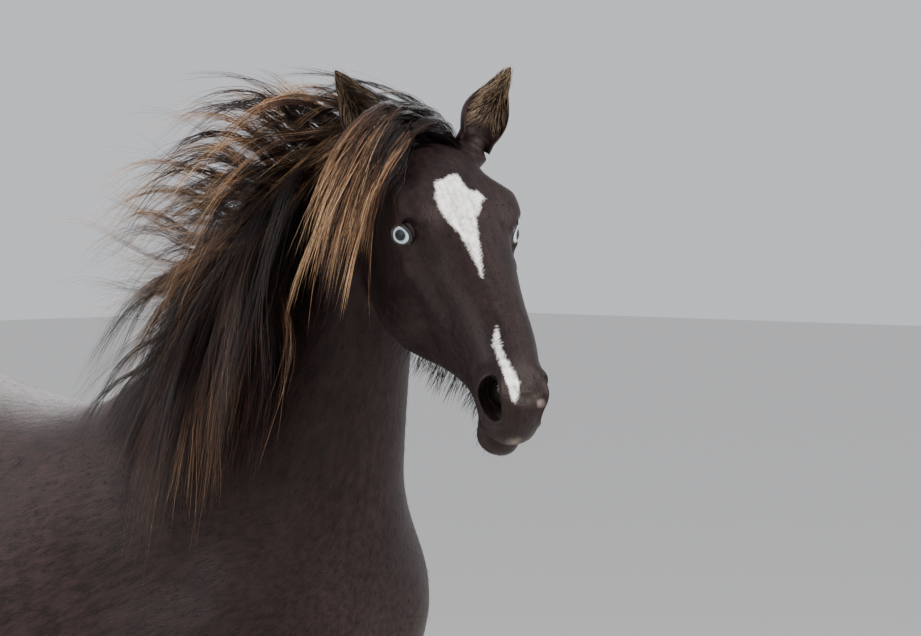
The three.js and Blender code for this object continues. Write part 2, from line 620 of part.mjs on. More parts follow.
// Legs and hooves
const LEG_SIDES = 10;
function legRings(l, from, to, step) {
  const count = Math.ceil(Math.abs(to - from) / step);
  const rings = [];
  for (let i = 0; i <= count; i++) {
    const z = from + ((to - from) * i) / count;
    const { stations } = l;
    const k = Math.max(0, stations.findIndex((row) => row[0] > z) - 1);
    const x = (z - stations[k][0]) / (stations[k + 1][0] - stations[k][0]);
    const along = stations[k].map((value, c) => value + (stations[k + 1][c] - value) * x);
    const lean = l.stance * Math.max(0, 1 - z / 800);
    rings.push({ centre: V((along[1] + along[2]) / 2 + lean, (l.track + along[5]) * l.side, z), a: V(1, 0, 0), b: V(0, 1, 0) });
  }
  return rings;
}
function hoofSolid(l) {
  const at = legRings(l, CORONET, CORONET + 1, 1)[0].centre;
  const HEIGHTS = [
    [0, 34, 66, 60],
    [10, 31, 65, 59],
    [CORONET - GAP / 2 - 8, 3, 50, 47],
    [CORONET - GAP / 2, 0, 45, 43],
  ]; // height, forward shift, half length, half width
  const points = [];
  const faces = [];
  const sides = 16;
  for (const [z, shift, length, width] of HEIGHTS) {
    for (let j = 0; j < sides; j++) {
      const angle = (2 * Math.PI * j) / sides;
      const heel = Math.cos(angle) < 0 ? 0.86 : 1;
      points.push(V(at.x + shift + length * heel * Math.cos(angle), at.y + width * Math.sin(angle), z));
    }
  }
  for (let i = 0; i + 1 < HEIGHTS.length; i++) {
    for (let j = 0; j < sides; j++) {
      const k = (j + 1) % sides;
      const [p, q, r, t] = [i * sides + j, i * sides + k, (i + 1) * sides + k, (i + 1) * sides + j];
      faces.push([p, q, r], [p, r, t]);
    }
  }
  for (let j = 1; j + 1 < sides; j++) {
    faces.push([0, j + 1, j]);
    const top = (HEIGHTS.length - 1) * sides;
    faces.push([top, top + j, top + j + 1]);
  }
  return solid(points, faces);
}
const legNode = {};
for (const l of LEGS) {
  const cut = CUTS[l.end];
  const name = `${l.end}_${l.side > 0 ? "left" : "right"}`;
  const upper = legRings(l, cut.top - GAP / 2, cut.joint + GAP / 2, 36);
  const lower = legRings(l, cut.joint - GAP / 2, CORONET + GAP / 2, 28);
  addNode(`leg_upper_${name}`, ringSolid(upper, LEG_SIDES, 125), MATERIALS.coat);
  legNode[name] = ringSolid(lower, LEG_SIDES, 110);
  addNode(`hoof_${name}`, hoofSolid(l), MATERIALS.horn);
}

// Dock
function dockSolid() {
  const rings = [];
  for (let i = 0; i <= 5; i++) {
    const t = DOCK_CUT + GAP / 2 + ((DOCK_LENGTH - 4 - DOCK_CUT) * i) / 5;
    rings.push({ centre: toWorld(DOCK, t, 0, 0), a: DOCK.u, b: DOCK.s });
  }
  return ringSolid(rings, 12, 90, toWorld(DOCK, DOCK_LENGTH + 20, 0, 0), dock.distance);
}

// Locks of hair. A lock is a flat strip, diamond in section, that leaves the skin, turns to the wind and tapers out.
const WIND = V(-Math.SQRT1_2, -Math.SQRT1_2, 0); // blows backwards and to the right
const EARS = both((s) => bar({ in: HEAD, from: EAR_ROOT(s), to: EAR_TIP(s), radii: [37, 14] }));
const obstacle = (p) => Math.min(skin(p), ...EARS.map((ear) => ear.distance(p)));
function seeded(seed) {
  let a = seed;
  return (low, high) => {
    a = (a + 0x6d2b79f5) | 0;
    let t = Math.imul(a ^ (a >>> 15), 1 | a);
    t = (t + Math.imul(t ^ (t >>> 7), 61 | t)) ^ t;
    return low + ((high - low) * ((t ^ (t >>> 14)) >>> 0)) / 4294967296;
  };
}
function lockPath({ root, leave, heading, drop, length, steps, sink, clear, sway, turn = 0.42 }) {
  const points = [root.clone().addScaledVector(leave, -sink), root.clone()];
  const p = root.clone();
  const along = leave.clone();
  const step = length / steps;
  for (let i = 1; i <= steps; i++) {
    const x = i / steps;
    const wave = V(-heading.y, heading.x, 0.6).multiplyScalar(sway * Math.sin(2.2 * Math.PI * x + sway * 9));
    along.lerp(heading.clone().add(V(0, 0, -drop * x)).add(wave).normalize(), turn).normalize();
    const last = p.clone();
    p.addScaledVector(along, step);
    for (let n = 0; n < 3; n++) {
      const short = clear - obstacle(p);
      if (short > 0) p.addScaledVector(outward(p, obstacle, 4), short);
    }
    along.copy(p).sub(last).normalize();
    points.push(p.clone());
  }
  return points;
}
function lockSolid(points, width, thickness) {
  const positions = [];
  const faces = [];
  const last = points.length - 1;
  let across;
  for (let i = 0; i < last; i++) {
    const x = i / last;
    const along = points[i + 1].clone().sub(points[Math.max(i - 1, 0)]).normalize();
    const lift = outward(points[Math.min(i, 3)], skin, 4);
    across = across ?? lift.clone().cross(along).normalize();
    across.addScaledVector(along, -across.dot(along)).normalize();
    const flat = along.clone().cross(across);
    const taper = Math.min(1, 0.62 + 1.5 * x) * (1 - x ** 2.6);
    for (const [w, t] of [[1, 0], [0, 1], [-1, 0], [0, -1]]) {
      const offset = across.clone().multiplyScalar((w * width * taper) / 2).addScaledVector(flat, (t * thickness * taper) / 2);
      positions.push(points[i].clone().add(offset));
    }
  }
  const tip = positions.push(points[last].clone()) - 1;
  for (let i = 0; i + 1 < last; i++) {
    for (let j = 0; j < 4; j++) {
      const k = (j + 1) % 4;
      const [p, q, r, t] = [i * 4 + j, i * 4 + k, (i + 1) * 4 + k, (i + 1) * 4 + j];
      faces.push([p, q, r], [p, r, t]);
    }
  }
  const base = (last - 1) * 4;
  for (let j = 0; j < 4; j++) faces.push([base + j, base + ((j + 1) % 4), tip]);
  faces.push([0, 2, 1], [0, 3, 2]);
  const made = solid(positions, faces);
  return made.volume() > 0 ? made : solid(positions, faces.map(([p, q, r]) => [p, r, q]));
}
const fuse = (node, locks) => largest(wasm.Manifold.union([node, ...locks]));

// Mane, from the crest, in families. Each is a count and the ranges of: place on the crest, lean to the left, rise,
// blow towards the horse's right front, drop, length.
const MANE_FAMILIES = [
  [5, [560, 655], [-0.35, 0.1], [0.1, 0.4], [0, 0.2], [0.2, 0.6], [270, 350]],
  [8, [440, 650], [-0.35, 0.1], [-0.25, 0.05], [0, 0.3], [0.3, 0.8], [370, 460]],
  [4, [540, 640], [-0.7, -0.35], [-0.35, -0.1], [0.3, 0.5], [0.2, 0.6], [380, 440]],
  [9, [250, 480], [-0.35, 0.05], [-0.9, -0.45], [0, 0.4], [0.9, 1.6], [400, 480]],
  [6, [310, 620], [-0.65, -0.3], [-1.1, -0.6], [0.25, 0.5], [0.8, 1.3], [340, 430]],
];
const MANE = { width: 44, thickness: 15, steps: 6, seed: 11 };
const NEAR = V(Math.SQRT1_2, -Math.SQRT1_2, 0);
const UP = V(0, 0, 1);
function maneLocks() {
  const pick = seeded(MANE.seed);
  const locks = [];
  for (const [count, [from, to], lean, rise, near, drops, lengths] of MANE_FAMILIES) {
    for (let i = 0; i < count; i++) {
      const place = from + ((to - from) * (i + pick(0.2, 0.8))) / count;
      const leave = NECK.u.clone().addScaledVector(NECK.s, pick(...lean)).normalize();
      const root = onSkin(toWorld(NECK, place, 0, 0), leave, 420);
      const heading = WIND.clone().addScaledVector(UP, pick(...rise)).addScaledVector(NEAR, pick(...near));
      const drop = pick(...drops);
      const length = pick(...lengths);
      const clear = pick(10, 30);
      const sway = pick(-0.35, 0.35);
      if (Math.min(aheadOfCut(root), aboveThroat(root)) > -MANE.width * 0.6) continue;
      const path = lockPath({
        root,
        leave: leave.addScaledVector(WIND, 0.4).normalize(),
        heading: heading.normalize(),
        drop,
        length,
        steps: MANE.steps,
        sink: 20,
        clear,
        sway,
      });
      locks.push(lockSolid(path, MANE.width, MANE.thickness));
    }
  }
  return locks;
}
addNode("neck", fuse(neckNode, maneLocks()), MATERIALS.coat);

// Forelock, from the poll over the root of the right ear
const FORELOCK = { count: 8, width: 32, thickness: 11, steps: 5, seed: 23 };
function forelockLocks() {
  const pick = seeded(FORELOCK.seed);
  const locks = [];
  for (let i = 0; i < FORELOCK.count; i++) {
    const x = i / (FORELOCK.count - 1);
    const root = onSkin(toWorld(HEAD, 44 + 26 * x, -70, 34 - 50 * x), HEAD.u, 160);
    const heading = WIND.clone().multiplyScalar(0.55);
    heading.addScaledVector(HEAD.a, 0.75 + 0.5 * x).addScaledVector(HEAD.s, pick(-0.6, -0.35));
    const path = lockPath({
      root,
      leave: HEAD.u.clone().addScaledVector(HEAD.s, -1.6).addScaledVector(HEAD.a, 0.9).normalize(),
      heading: heading.normalize(),
      drop: pick(1.6, 2.6),
      length: pick(200, 280),
      steps: FORELOCK.steps,
      sink: 16,
      clear: pick(5, 16),
      sway: pick(-0.15, 0.15),
    });
    locks.push(lockSolid(path, FORELOCK.width, FORELOCK.thickness));
  }
  return locks;
}

// Beard, along the jaw's lower edge
const BEARD = { count: 11, width: 21, thickness: 8, steps: 3, seed: 31 };
function beardLocks() {
  const pick = seeded(BEARD.seed);
  const locks = [];
  for (let i = 0; i < BEARD.count; i++) {
    const x = (i + pick(0.1, 0.9)) / BEARD.count;
    const leave = HEAD.u.clone().negate().addScaledVector(HEAD.s, pick(-0.25, 0.25)).normalize();
    const root = onSkin(toWorld(HEAD, 205 + 225 * x, -110, 0), leave, 200);
    const path = lockPath({
      root,
      leave: leave.addScaledVector(HEAD.a, pick(-0.9, -0.2)).normalize(),
      heading: V(-0.35, -0.3, -0.85).normalize(),
      drop: 0.4,
      length: pick(36, 78) * (1 - 0.3 * x),
      steps: BEARD.steps,
      sink: 18,
      clear: 2,
      sway: pick(-0.3, 0.3),
    });
    locks.push(lockSolid(path, BEARD.width, BEARD.thickness));
  }
  return locks;
}
addNode("head", fuse(head, [...forelockLocks(), ...beardLocks()]), MATERIALS.coat);

// Feathers, behind each fetlock
const FEATHERS = { count: 5, width: 24, thickness: 9, steps: 3, seed: 41 };
function featherLocks(l) {
  const pick = seeded(FEATHERS.seed + (l.end === "fore" ? 1 : 2) * 7 + l.side);
  const locks = [];
  for (let i = 0; i < FEATHERS.count; i++) {
    const z = 218 + pick(-16, 12);
    const { centre } = legRings(l, z, z + 1, 1)[0];
    const angle = -0.8 + (1.6 * i) / (FEATHERS.count - 1);
    const leave = V(-Math.cos(angle), Math.sin(angle), 0);
    const root = onSkin(centre, leave, 90);
    const path = lockPath({
      root,
      leave: leave.clone().add(V(0, 0, -2)).normalize(),
      heading: V(-0.05, -0.03, -1).addScaledVector(leave, 0.05).normalize(),
      drop: 1.5,
      length: pick(56, 76),
      steps: FEATHERS.steps,
      sink: 16,
      clear: 2,
      sway: 0.05,
    });
    locks.push(lockSolid(path, FEATHERS.width, FEATHERS.thickness));
  }
  return locks;
}
for (const l of LEGS) {
  const name = `${l.end}_${l.side > 0 ? "left" : "right"}`;
  addNode(`leg_lower_${name}`, fuse(legNode[name], featherLocks(l)), MATERIALS.coat);
}

// Tail, from the dock
const TAIL = { count: 17, width: 54, thickness: 21, steps: 6, seed: 53 };
function tailLocks() {
  const pick = seeded(TAIL.seed);
  const locks = [];
  for (let i = 0; i < TAIL.count; i++) {
    const x = (i + 0.5) / TAIL.count;
    const angle = 2.4 * i;
    const leave = DOCK.u.clone().multiplyScalar(Math.cos(angle)).addScaledVector(DOCK.s, Math.sin(angle));
    const root = onSkin(toWorld(DOCK, 118 + 120 * x, 0, 0), leave, 90, dock.distance);
    const path = lockPath({
      root,
      leave: leave.clone().multiplyScalar(0.4).add(DOCK.a).normalize(),
      heading: V(-0.3, -0.14, -1).addScaledVector(leave, 0.16).normalize(),
      drop: 0.6,
      length: pick(640, 880),
      steps: TAIL.steps,
      sink: 30,
      clear: 30,
      sway: pick(-0.1, 0.1),
    });
    locks.push(lockSolid(path, TAIL.width, TAIL.thickness));
  }
  return locks;
}
addNode("tail", fuse(dockSolid(), tailLocks()), MATERIALS.hair);

// The group rests on the floor, centred over the frame's origin
const bounds = new THREE.Box3().setFromObject(part);
const middle = bounds.getCenter(V(0, 0, 0));
for (const mesh of part.children) mesh.geometry.translate(-middle.x, -middle.y, -bounds.min.z);

export default part;
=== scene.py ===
"""A life-size standing Icelandic horse: skin, eyes, ears, hooves, and a mane and tail blown by the wind.

One smooth field, in millimetres, gives the skin its shape. Hair is thin closed locks that leave the skin,
turn to the wind and taper out. Lengths are in millimetres unless a comment or a unit says otherwise.
"""
import math
from collections import namedtuple

import bmesh
import bpy
import numpy as np
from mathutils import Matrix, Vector


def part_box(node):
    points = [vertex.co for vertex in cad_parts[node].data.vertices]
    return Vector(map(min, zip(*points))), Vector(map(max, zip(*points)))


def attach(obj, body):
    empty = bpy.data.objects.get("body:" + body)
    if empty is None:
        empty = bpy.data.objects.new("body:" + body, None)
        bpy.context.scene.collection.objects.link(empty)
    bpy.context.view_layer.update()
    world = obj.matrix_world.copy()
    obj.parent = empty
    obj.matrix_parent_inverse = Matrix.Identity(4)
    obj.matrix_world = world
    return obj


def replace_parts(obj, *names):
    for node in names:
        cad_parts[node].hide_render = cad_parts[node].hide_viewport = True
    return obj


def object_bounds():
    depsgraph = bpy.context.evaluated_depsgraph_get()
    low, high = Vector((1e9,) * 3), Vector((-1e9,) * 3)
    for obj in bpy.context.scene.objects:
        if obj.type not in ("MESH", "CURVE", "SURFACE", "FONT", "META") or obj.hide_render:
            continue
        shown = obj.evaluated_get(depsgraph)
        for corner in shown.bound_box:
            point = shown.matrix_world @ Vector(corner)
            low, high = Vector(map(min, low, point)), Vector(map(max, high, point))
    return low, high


bl_info = {
    "name": "Icelandic Horse",
    "version": (1, 0, 0),
    "blender": (4, 5, 0),
    "location": "View3D > Sidebar > Horse",
    "description": "Builds a standing horse with its coat, mane, tail and studio",
    "category": "Add Mesh",
}

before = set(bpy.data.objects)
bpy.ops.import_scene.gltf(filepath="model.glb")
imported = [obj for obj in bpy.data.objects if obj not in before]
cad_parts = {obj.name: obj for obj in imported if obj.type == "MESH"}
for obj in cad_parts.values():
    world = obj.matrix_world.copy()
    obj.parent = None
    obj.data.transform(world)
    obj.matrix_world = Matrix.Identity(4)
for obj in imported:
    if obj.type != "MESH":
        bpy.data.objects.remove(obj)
CAD_BOX = [list(corner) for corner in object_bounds()]
DEG = math.pi / 180
MM = 0.001


# Directions and frames
def unit(v):
    v = np.asarray(v, float)
    return v / np.maximum(np.linalg.norm(v, axis=-1, keepdims=True), 1e-9)


def turned(v, axis, angle):
    v, axis = np.asarray(v, float), unit(axis)
    c, s = math.cos(angle), math.sin(angle)
    return v * c + np.cross(axis, v) * s + axis * np.dot(axis, v) * (1 - c)


class Frame:
    """An origin with three directions, along, up and side, and a scale for each."""

    def __init__(self, origin, along, up, scale=(1, 1, 1)):
        self.origin = np.asarray(origin, float)
        self.a = unit(along)
        self.s = unit(np.cross(up, self.a))
        self.u = unit(np.cross(self.a, self.s))
        self.scale = scale

    def world(self, t, u, s):
        t, u, s = (np.asarray(v) * k for v, k in zip((t, u, s), self.scale))
        along, up, side = (np.multiply.outer(v, way) for v, way in zip((t, u, s), (self.a, self.u, self.s)))
        return self.origin + along + up + side

    def local(self, p):
        d = p - self.origin
        return d @ self.a / self.scale[0], d @ self.u / self.scale[1], d @ self.s / self.scale[2]


class HeadFrame(Frame):
    """The head's frame. The muzzle is carried a little to the horse's right."""

    CARRIED, START, SPAN = 16, 390, 120

    def carry(self, t):
        return -self.CARRIED * np.clip((np.asarray(t, float) - self.START) / self.SPAN, 0, 1) ** 1.6

    def world(self, t, u, s):
        return super().world(t, u, np.asarray(s) + self.carry(t))

    def local(self, p):
        t, u, s = super().local(p)
        return t, u, s - self.carry(t)


WITHERS_HEIGHT, BACK_HEIGHT, CROUP_HEIGHT = 1370, 1285, 1335
HEAD_PITCH, HEAD_YAW = 38.5 * DEG, -20.5 * DEG
HEAD_SCALE = (0.95, 1.1, 0.94)
POLL = np.array([852, -62, 1705])
NECK_BASE = np.array([430, 0, 1090])
HEADING, UP = np.array([math.cos(HEAD_YAW), math.sin(HEAD_YAW), 0]), np.array([0, 0, 1])
HEAD = HeadFrame(
    POLL, math.cos(HEAD_PITCH) * HEADING - math.sin(HEAD_PITCH) * UP,
    math.sin(HEAD_PITCH) * HEADING + math.cos(HEAD_PITCH) * UP, HEAD_SCALE,
)
NECK = Frame(NECK_BASE, HEAD.world(25, -160, 0) - NECK_BASE, (-0.8, 0, 0.6))
TRUNK = Frame((0, 0, 0), (1, 0, 0), (0, 0, 1))
UPRIGHT = Frame((0, 0, 0), (0, 0, 1), (1, 0, 0))
DOCK = Frame((-628, 0, 1212), (-0.88, -0.03, -0.47), (-0.47, 0, 0.88))
DOCK_LENGTH = 250
WIND = np.array([-math.sqrt(0.5), -math.sqrt(0.5), 0])
TOWARDS = np.array([math.sqrt(0.5), -math.sqrt(0.5), 0])  # to the near side, square to the wind
EYE = np.array([190, -42, 78])
EYE_RADIUS = 21
EAR_LENGTH = 128
FORE_TRACK, HIND_TRACK = 126, 132
STANCE = {("fore", 1): -25, ("fore", -1): 35, ("hind", 1): 45, ("hind", -1): -40}


def ear_at(side, x):
    """A point on an ear's middle line, from 0 at its root to 1 at its tip, in the head's directions."""
    root, tip = np.array([38, -14, 70 * side]), np.array([-14, 80, 122] if side > 0 else [-42, 46, -132])
    return root + x * (tip - root)


def node_shift():
    """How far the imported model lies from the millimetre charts, read off one eye."""
    low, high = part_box("eye_left")
    return np.array((low + high) / 2) / MM - HEAD.world(*EYE)


SHIFT = node_shift()


# The body's field: a blend of tapered lofts and rounded masses, negative inside
def smooth_table(stations, steps=160):
    """The stations' values at even steps, with smooth changes between them."""
    st = np.array(stations, float)
    rows = []
    for t in np.linspace(st[0, 0], st[-1, 0], steps + 1):
        k = int(np.clip(np.searchsorted(st[:, 0], t) - 1, 0, len(st) - 2))
        p0, p1, p2, p3 = st[max(k - 1, 0)], st[k], st[k + 1], st[min(k + 2, len(st) - 1)]
        w = p2[0] - p1[0]
        x = (t - p1[0]) / w
        m1, m2 = (p2 - p0) / (p2[0] - p0[0]) * w, (p3 - p1) / (p3[0] - p1[0]) * w
        row = (2 * x**3 - 3 * x**2 + 1) * p1 + (x**3 - 2 * x**2 + x) * m1
        rows.append(row + (-2 * x**3 + 3 * x**2) * p2 + (x**3 - x**2) * m2)
    return np.linspace(st[0, 0], st[-1, 0], steps + 1), np.array(rows)[:, 1:]


def loft(own, stations, rounding, power=2.2):
    """Stations: place, top, bottom, half width, height of the widest line, sideways shift."""
    places, rows = smooth_table(stations)

    def distance(p):
        t, u, s = own.local(p)
        top, bottom, half, widest, shift = (np.interp(t, places, rows[:, c]) for c in range(5))
        over = t - np.clip(t, places[0], places[-1])
        du, ds = u - widest, s - shift
        reach = np.where(du > 0, top - widest, widest - bottom)
        total = np.abs(du / reach) ** power + np.abs(ds / half) ** power + np.abs(over / rounding) ** power
        r = np.maximum(total, 1e-9) ** (1 / power)
        q = np.sqrt(du**2 + ds**2 + over**2)
        return np.where(r < 1e-3, -np.minimum(reach, half), q * (1 - 1 / np.maximum(r, 1e-3)))

    return distance


def mass(own, at, radii, tilt=0, turn=0):
    """An ellipsoid, tilted and turned in degrees."""
    a = turned(turned(own.a, own.s, tilt * DEG), own.u, turn * DEG)
    placed = Frame(own.world(*at), a, turned(own.u, own.s, tilt * DEG))

    def distance(p):
        d = np.stack(placed.local(p), -1)
        r = np.linalg.norm(d / np.array(radii, float), axis=-1)
        return np.linalg.norm(d, axis=-1) * (1 - 1 / np.maximum(r, 0.02))

    return distance


def bar(own, start, end, radii):
    """A round bar that goes from one radius to another."""
    a, b = own.world(*start), own.world(*end)
    ab = b - a

    def distance(p):
        x = np.clip((p - a) @ ab / (ab @ ab), 0, 1)
        return np.linalg.norm(p - a - x[:, None] * ab, axis=-1) - radii[0] - (radii[1] - radii[0]) * x

    return distance


def smooth_min(a, b, k):
    h = np.maximum(k - np.abs(a - b), 0) / k
    return np.minimum(a, b) - h * h * k / 4


def smooth_max(a, b, k):
    return -smooth_min(-a, -b, k)


TRUNK_STATIONS = [
    (-650, 1222, 1010, 118, 1125, 0), (-560, 1288, 890, 200, 1100, 0),
    (-400, CROUP_HEIGHT, 825, 236, 1080, 0), (-260, 1322, 770, 250, 1045, 0),
    (-100, 1296, 728, 264, 1005, 0), (50, BACK_HEIGHT, 712, 268, 985, 0), (180, 1304, 716, 252, 985, 0),
    (290, 1352, 728, 222, 985, 0), (370, WITHERS_HEIGHT, 748, 200, 985, 0), (480, 1320, 786, 185, 1000, 0),
    (580, 1220, 850, 160, 1010, 0), (628, 1150, 905, 135, 1020, 0),
]
NECK_STATIONS = [
    (60, 262, -255, 150, -20, 0), (180, 228, -212, 132, -25, -3), (300, 196, -156, 112, -15, -8),
    (420, 160, -100, 95, 5, -10), (515, 126, -60, 84, 20, -8), (600, 90, -50, 74, 15, -4),
    (690, 50, -50, 58, 0, 0),
]
SKULL_STATIONS = [
    (12, 2, -120, 56, -48, 0), (70, 15, -135, 76, -50, 0), (130, 22, -145, 90, -50, 0),
    (185, 19, -145, 92, -50, 0), (240, 8, -140, 78, -52, 0), (310, -5, -132, 61, -58, 0),
    (380, -15, -124, 52, -66, 0), (440, -23, -118, 49, -72, 0), (490, -31, -120, 44, -78, 0),
    (526, -49, -122, 36, -86, 0),
]
JAW_STATIONS = [
    (84, -70, -196, 50, -130, 0), (120, -80, -236, 55, -150, 0), (170, -85, -243, 55, -160, 0),
    (235, -90, -218, 46, -150, 0), (305, -92, -184, 37, -140, 0), (375, -95, -158, 32, -128, 0),
    (440, -98, -145, 30, -122, 0), (500, -104, -152, 32, -126, 0),
]
FORE_STATIONS = [
    (95, 512, 418, 44, 464, 0), (150, 488, 420, 33, 452, 0), (208, 472, 392, 37, 432, 0),
    (255, 464, 402, 30, 434, 0), (340, 464, 404, 28, 434, 0), (412, 474, 402, 37, 436, 0),
    (455, 484, 398, 45, 440, 0), (510, 476, 402, 42, 438, 0), (610, 480, 394, 47, 436, 4),
    (720, 494, 376, 58, 436, 9), (820, 508, 350, 68, 432, 14), (900, 520, 335, 74, 428, 18),
]
HIND_STATIONS = [
    (95, -596, -690, 44, -644, 0), (152, -620, -694, 33, -657, 0), (210, -636, -722, 38, -680, 0),
    (270, -646, -712, 29, -678, 0), (380, -648, -716, 29, -680, 0), (470, -636, -726, 37, -680, 0),
    (530, -612, -738, 42, -675, 0), (580, -574, -746, 41, -660, 0), (640, -510, -690, 46, -605, 3),
    (720, -420, -636, 60, -535, 8), (810, -338, -590, 78, -470, 16), (900, -290, -560, 88, -430, 22),
]


def leg_stations(end, side):
    """One leg's stations, leaning to where its hoof stands."""
    stance = STANCE[end, side]
    track, chart = (FORE_TRACK, FORE_STATIONS) if end == "fore" else (HIND_TRACK, HIND_STATIONS)
    rows = []
    for z, front, back, half, centre, shift in chart:
        lean = stance * max(0, 1 - z / 800)
        rows.append((z, front + lean, back + lean, half, centre + lean, -(track + shift) * side))
    return rows


def dock_form():
    return bar(DOCK, (0, 0, 0), (DOCK_LENGTH, 0, 0), (42, 22))


def mouth_line(side):
    """The groove between the lips, on one side."""
    return [
        bar(HEAD, (452, -124, 44 * side), (520, -124, 38 * side), (2.5, 3.5)),
        bar(HEAD, (520, -124, 38 * side), (545, -126, 0), (3.5, 4)),
    ]


def body_forms():
    """Each form with the width of its blend into the rest."""
    forms = []
    for s in (1, -1):
        forms += [
            (mass(TRUNK, (395, 1110, 128 * s), (115, 230, 68), 24), 60),
            (mass(TRUNK, (568, 1005, 118 * s), (80, 105, 74), 10), 60),
            (mass(TRUNK, (440, 920, 150 * s), (125, 105, 62), -12), 60),
            (mass(TRUNK, (625, 950, 66 * s), (62, 105, 66), 12), 45),
            (mass(TRUNK, (-410, 1150, 132 * s), (190, 160, 108), -14), 60),
            (mass(TRUNK, (-480, 985, 142 * s), (150, 205, 92), 14), 60),
            (mass(TRUNK, (-618, 1065, 84 * s), (92, 150, 80), 8), 50),
            (mass(TRUNK, (-330, 880, 158 * s), (74, 100, 62), -18), 60),
        ]
        for end in ("fore", "hind"):
            forms.append((loft(UPRIGHT, leg_stations(end, s), 40, 2.15), 45))
    forms.append((loft(NECK, NECK_STATIONS, 50, 2.05), 100))
    forms.append((dock_form(), 35))
    return forms


def head_forms():
    """Rounded masses and hollows of the head, each with the width of its blend."""
    masses, hollows = [], []
    for s in (1, -1):
        masses += [
            (mass(HEAD, (150, -128, 46 * s), (98, 92, 30)), 26),
            (mass(HEAD, (172, -12, 66 * s), (52, 26, 30), 8), 24),
            (bar(HEAD, (120, -48, 80 * s), (232, -68, 74 * s), (16, 13)), 18),
            (bar(HEAD, (232, -68, 74 * s), (325, -84, 53 * s), (13, 8)), 18),
            (mass(HEAD, (500, -66, 31 * s), (38, 28, 21), -14), 18),
            (mass(HEAD, (EYE[0], EYE[1], EYE[2] * s), (31, 25, 23)), 12),
            (bar(HEAD, ear_at(s, 0), ear_at(s, 0.08), (28, 18)), 22),
        ]
        hollows += [
            (mass(HEAD, (118, 12, 84 * s), (26, 16, 16)), 20),
            (mass(HEAD, (268, -30, 84 * s), (70, 22, 14), 8), 24),
            (mass(HEAD, (400, -112, 62 * s), (70, 18, 16), 4), 22),
        ]
        hollows += [(form, 7) for form in mouth_line(s)]
    masses += [
        (loft(HEAD, JAW_STATIONS, 24, 2.1), 30),
        (mass(HEAD, (522, -99, 0), (29, 31, 34), -10), 18),
        (mass(HEAD, (504, -141, 0), (30, 20, 30), 6), 14),
    ]
    return masses, hollows


TRUNK_FORM = loft(TRUNK, TRUNK_STATIONS, 62, 2.15)
BODY_FORMS = body_forms()
SKULL_FORM = loft(HEAD, SKULL_STATIONS, 34, 2.35)
HEAD_MASSES, HEAD_HOLLOWS = head_forms()
EAR_FORMS = [bar(HEAD, ear_at(s, 0), ear_at(s, 1), (34, 14)) for s in (1, -1)]


def head_field(p):
    d = SKULL_FORM(p)
    for form, blend in HEAD_MASSES:
        d = smooth_min(d, form(p), blend)
    for form, blend in HEAD_HOLLOWS:
        d = smooth_max(d, -form(p), blend)
    return d


def skin_field(p):
    d = TRUNK_FORM(p)
    for form, blend in BODY_FORMS:
        d = smooth_min(d, form(p), blend)
    near = np.linalg.norm(p - POLL, axis=-1) < 900
    if near.any():
        d[near] = smooth_min(d[near], head_field(p[near]), 34)
    return d


def hair_field(p):
    d = skin_field(p)
    for form in EAR_FORMS:
        d = np.minimum(d, form(p))
    return d


def outward(p, field=skin_field, step=2.0):
    """The direction in which the field grows."""
    corners = np.array([(1, -1, -1), (-1, -1, 1), (-1, 1, -1), (1, 1, 1)], float)
    return unit(sum(c * field(p + c * step)[:, None] for c in corners))


def on_skin(start, direction, reach, field=skin_field, inset=0.0):
    """Where lines that start inside the field leave it, less the inset."""
    start, direction = np.atleast_2d(start), np.atleast_2d(direction)
    n = max(len(start), len(direction))
    start, direction = np.broadcast_to(start, (n, 3)), np.broadcast_to(direction, (n, 3))
    low, high, found = np.zeros(n), np.full(n, float(reach)), np.zeros(n, bool)
    for r in np.linspace(0, reach, 25)[1:]:
        out = (field(start + direction * r) > 0) & ~found
        high[out], low[out] = r, r - reach / 24
        found |= out
    for _ in range(14):
        mid = (low + high) / 2
        out = field(start + direction * mid[:, None]) > 0
        high, low = np.where(out, mid, high), np.where(out, low, mid)
    return start + direction * ((low + high) / 2 - inset)[:, None]


# Settings that a user would change
def colour(name, value, text):
    return bpy.props.FloatVectorProperty(
        name=name, description=text, default=value, subtype="COLOR", size=3, min=0, max=1
    )


class HorseBodySettings(bpy.types.PropertyGroup):
    net_cell: bpy.props.FloatProperty(
        name="Net cell", default=0.022, min=0.015, max=0.05, unit="LENGTH",
        description="Cell of the first, coarse surface",
    )
    coat_depth: bpy.props.FloatProperty(
        name="Coat depth", default=0.002, min=0, max=0.01, unit="LENGTH",
        description="How far the skin lies inside the body's outer shape",
    )
    coat: colour("Coat", (0.0150, 0.0082, 0.0080), "Very dark brown of the head, neck and legs")
    # The back colour is a painted sheen: a lighter grey-brown laid on the top of the back and barrel where
    # light falls on the coat.
    back: colour("Back", (0.044, 0.025, 0.024), "Lighter grey-brown of the back and barrel")
    muzzle: colour("Muzzle", (0.015, 0.0095, 0.0085), "Bare skin round the nostrils and lips")
    white: colour("White", (0.80, 0.77, 0.74), "Star and snip on the face")


class HorseHairSettings(bpy.types.PropertyGroup):
    root: colour("Root", (0.012, 0.0070, 0.0062), "Mane and tail near the skin")
    middle: colour("Middle", (0.105, 0.042, 0.022), "Reddish brown half way along")
    tip: colour("Tip", (0.70, 0.43, 0.23), "Sun-bleached ends")
    strand_width: bpy.props.FloatProperty(
        name="Strand width", default=0.0013, min=0.0004, max=0.004, unit="LENGTH",
        description="Width of one strand of the mane at its widest",
    )


class HorseEyeSettings(bpy.types.PropertyGroup):
    iris: colour("Iris", (0.40, 0.56, 0.74), "Pale blue of the iris")
    rim: colour("Rim", (0.74, 0.78, 0.80), "Pale ring at the iris's edge")
    white: colour("Eye white", (0.10, 0.075, 0.068), "White of the eye")


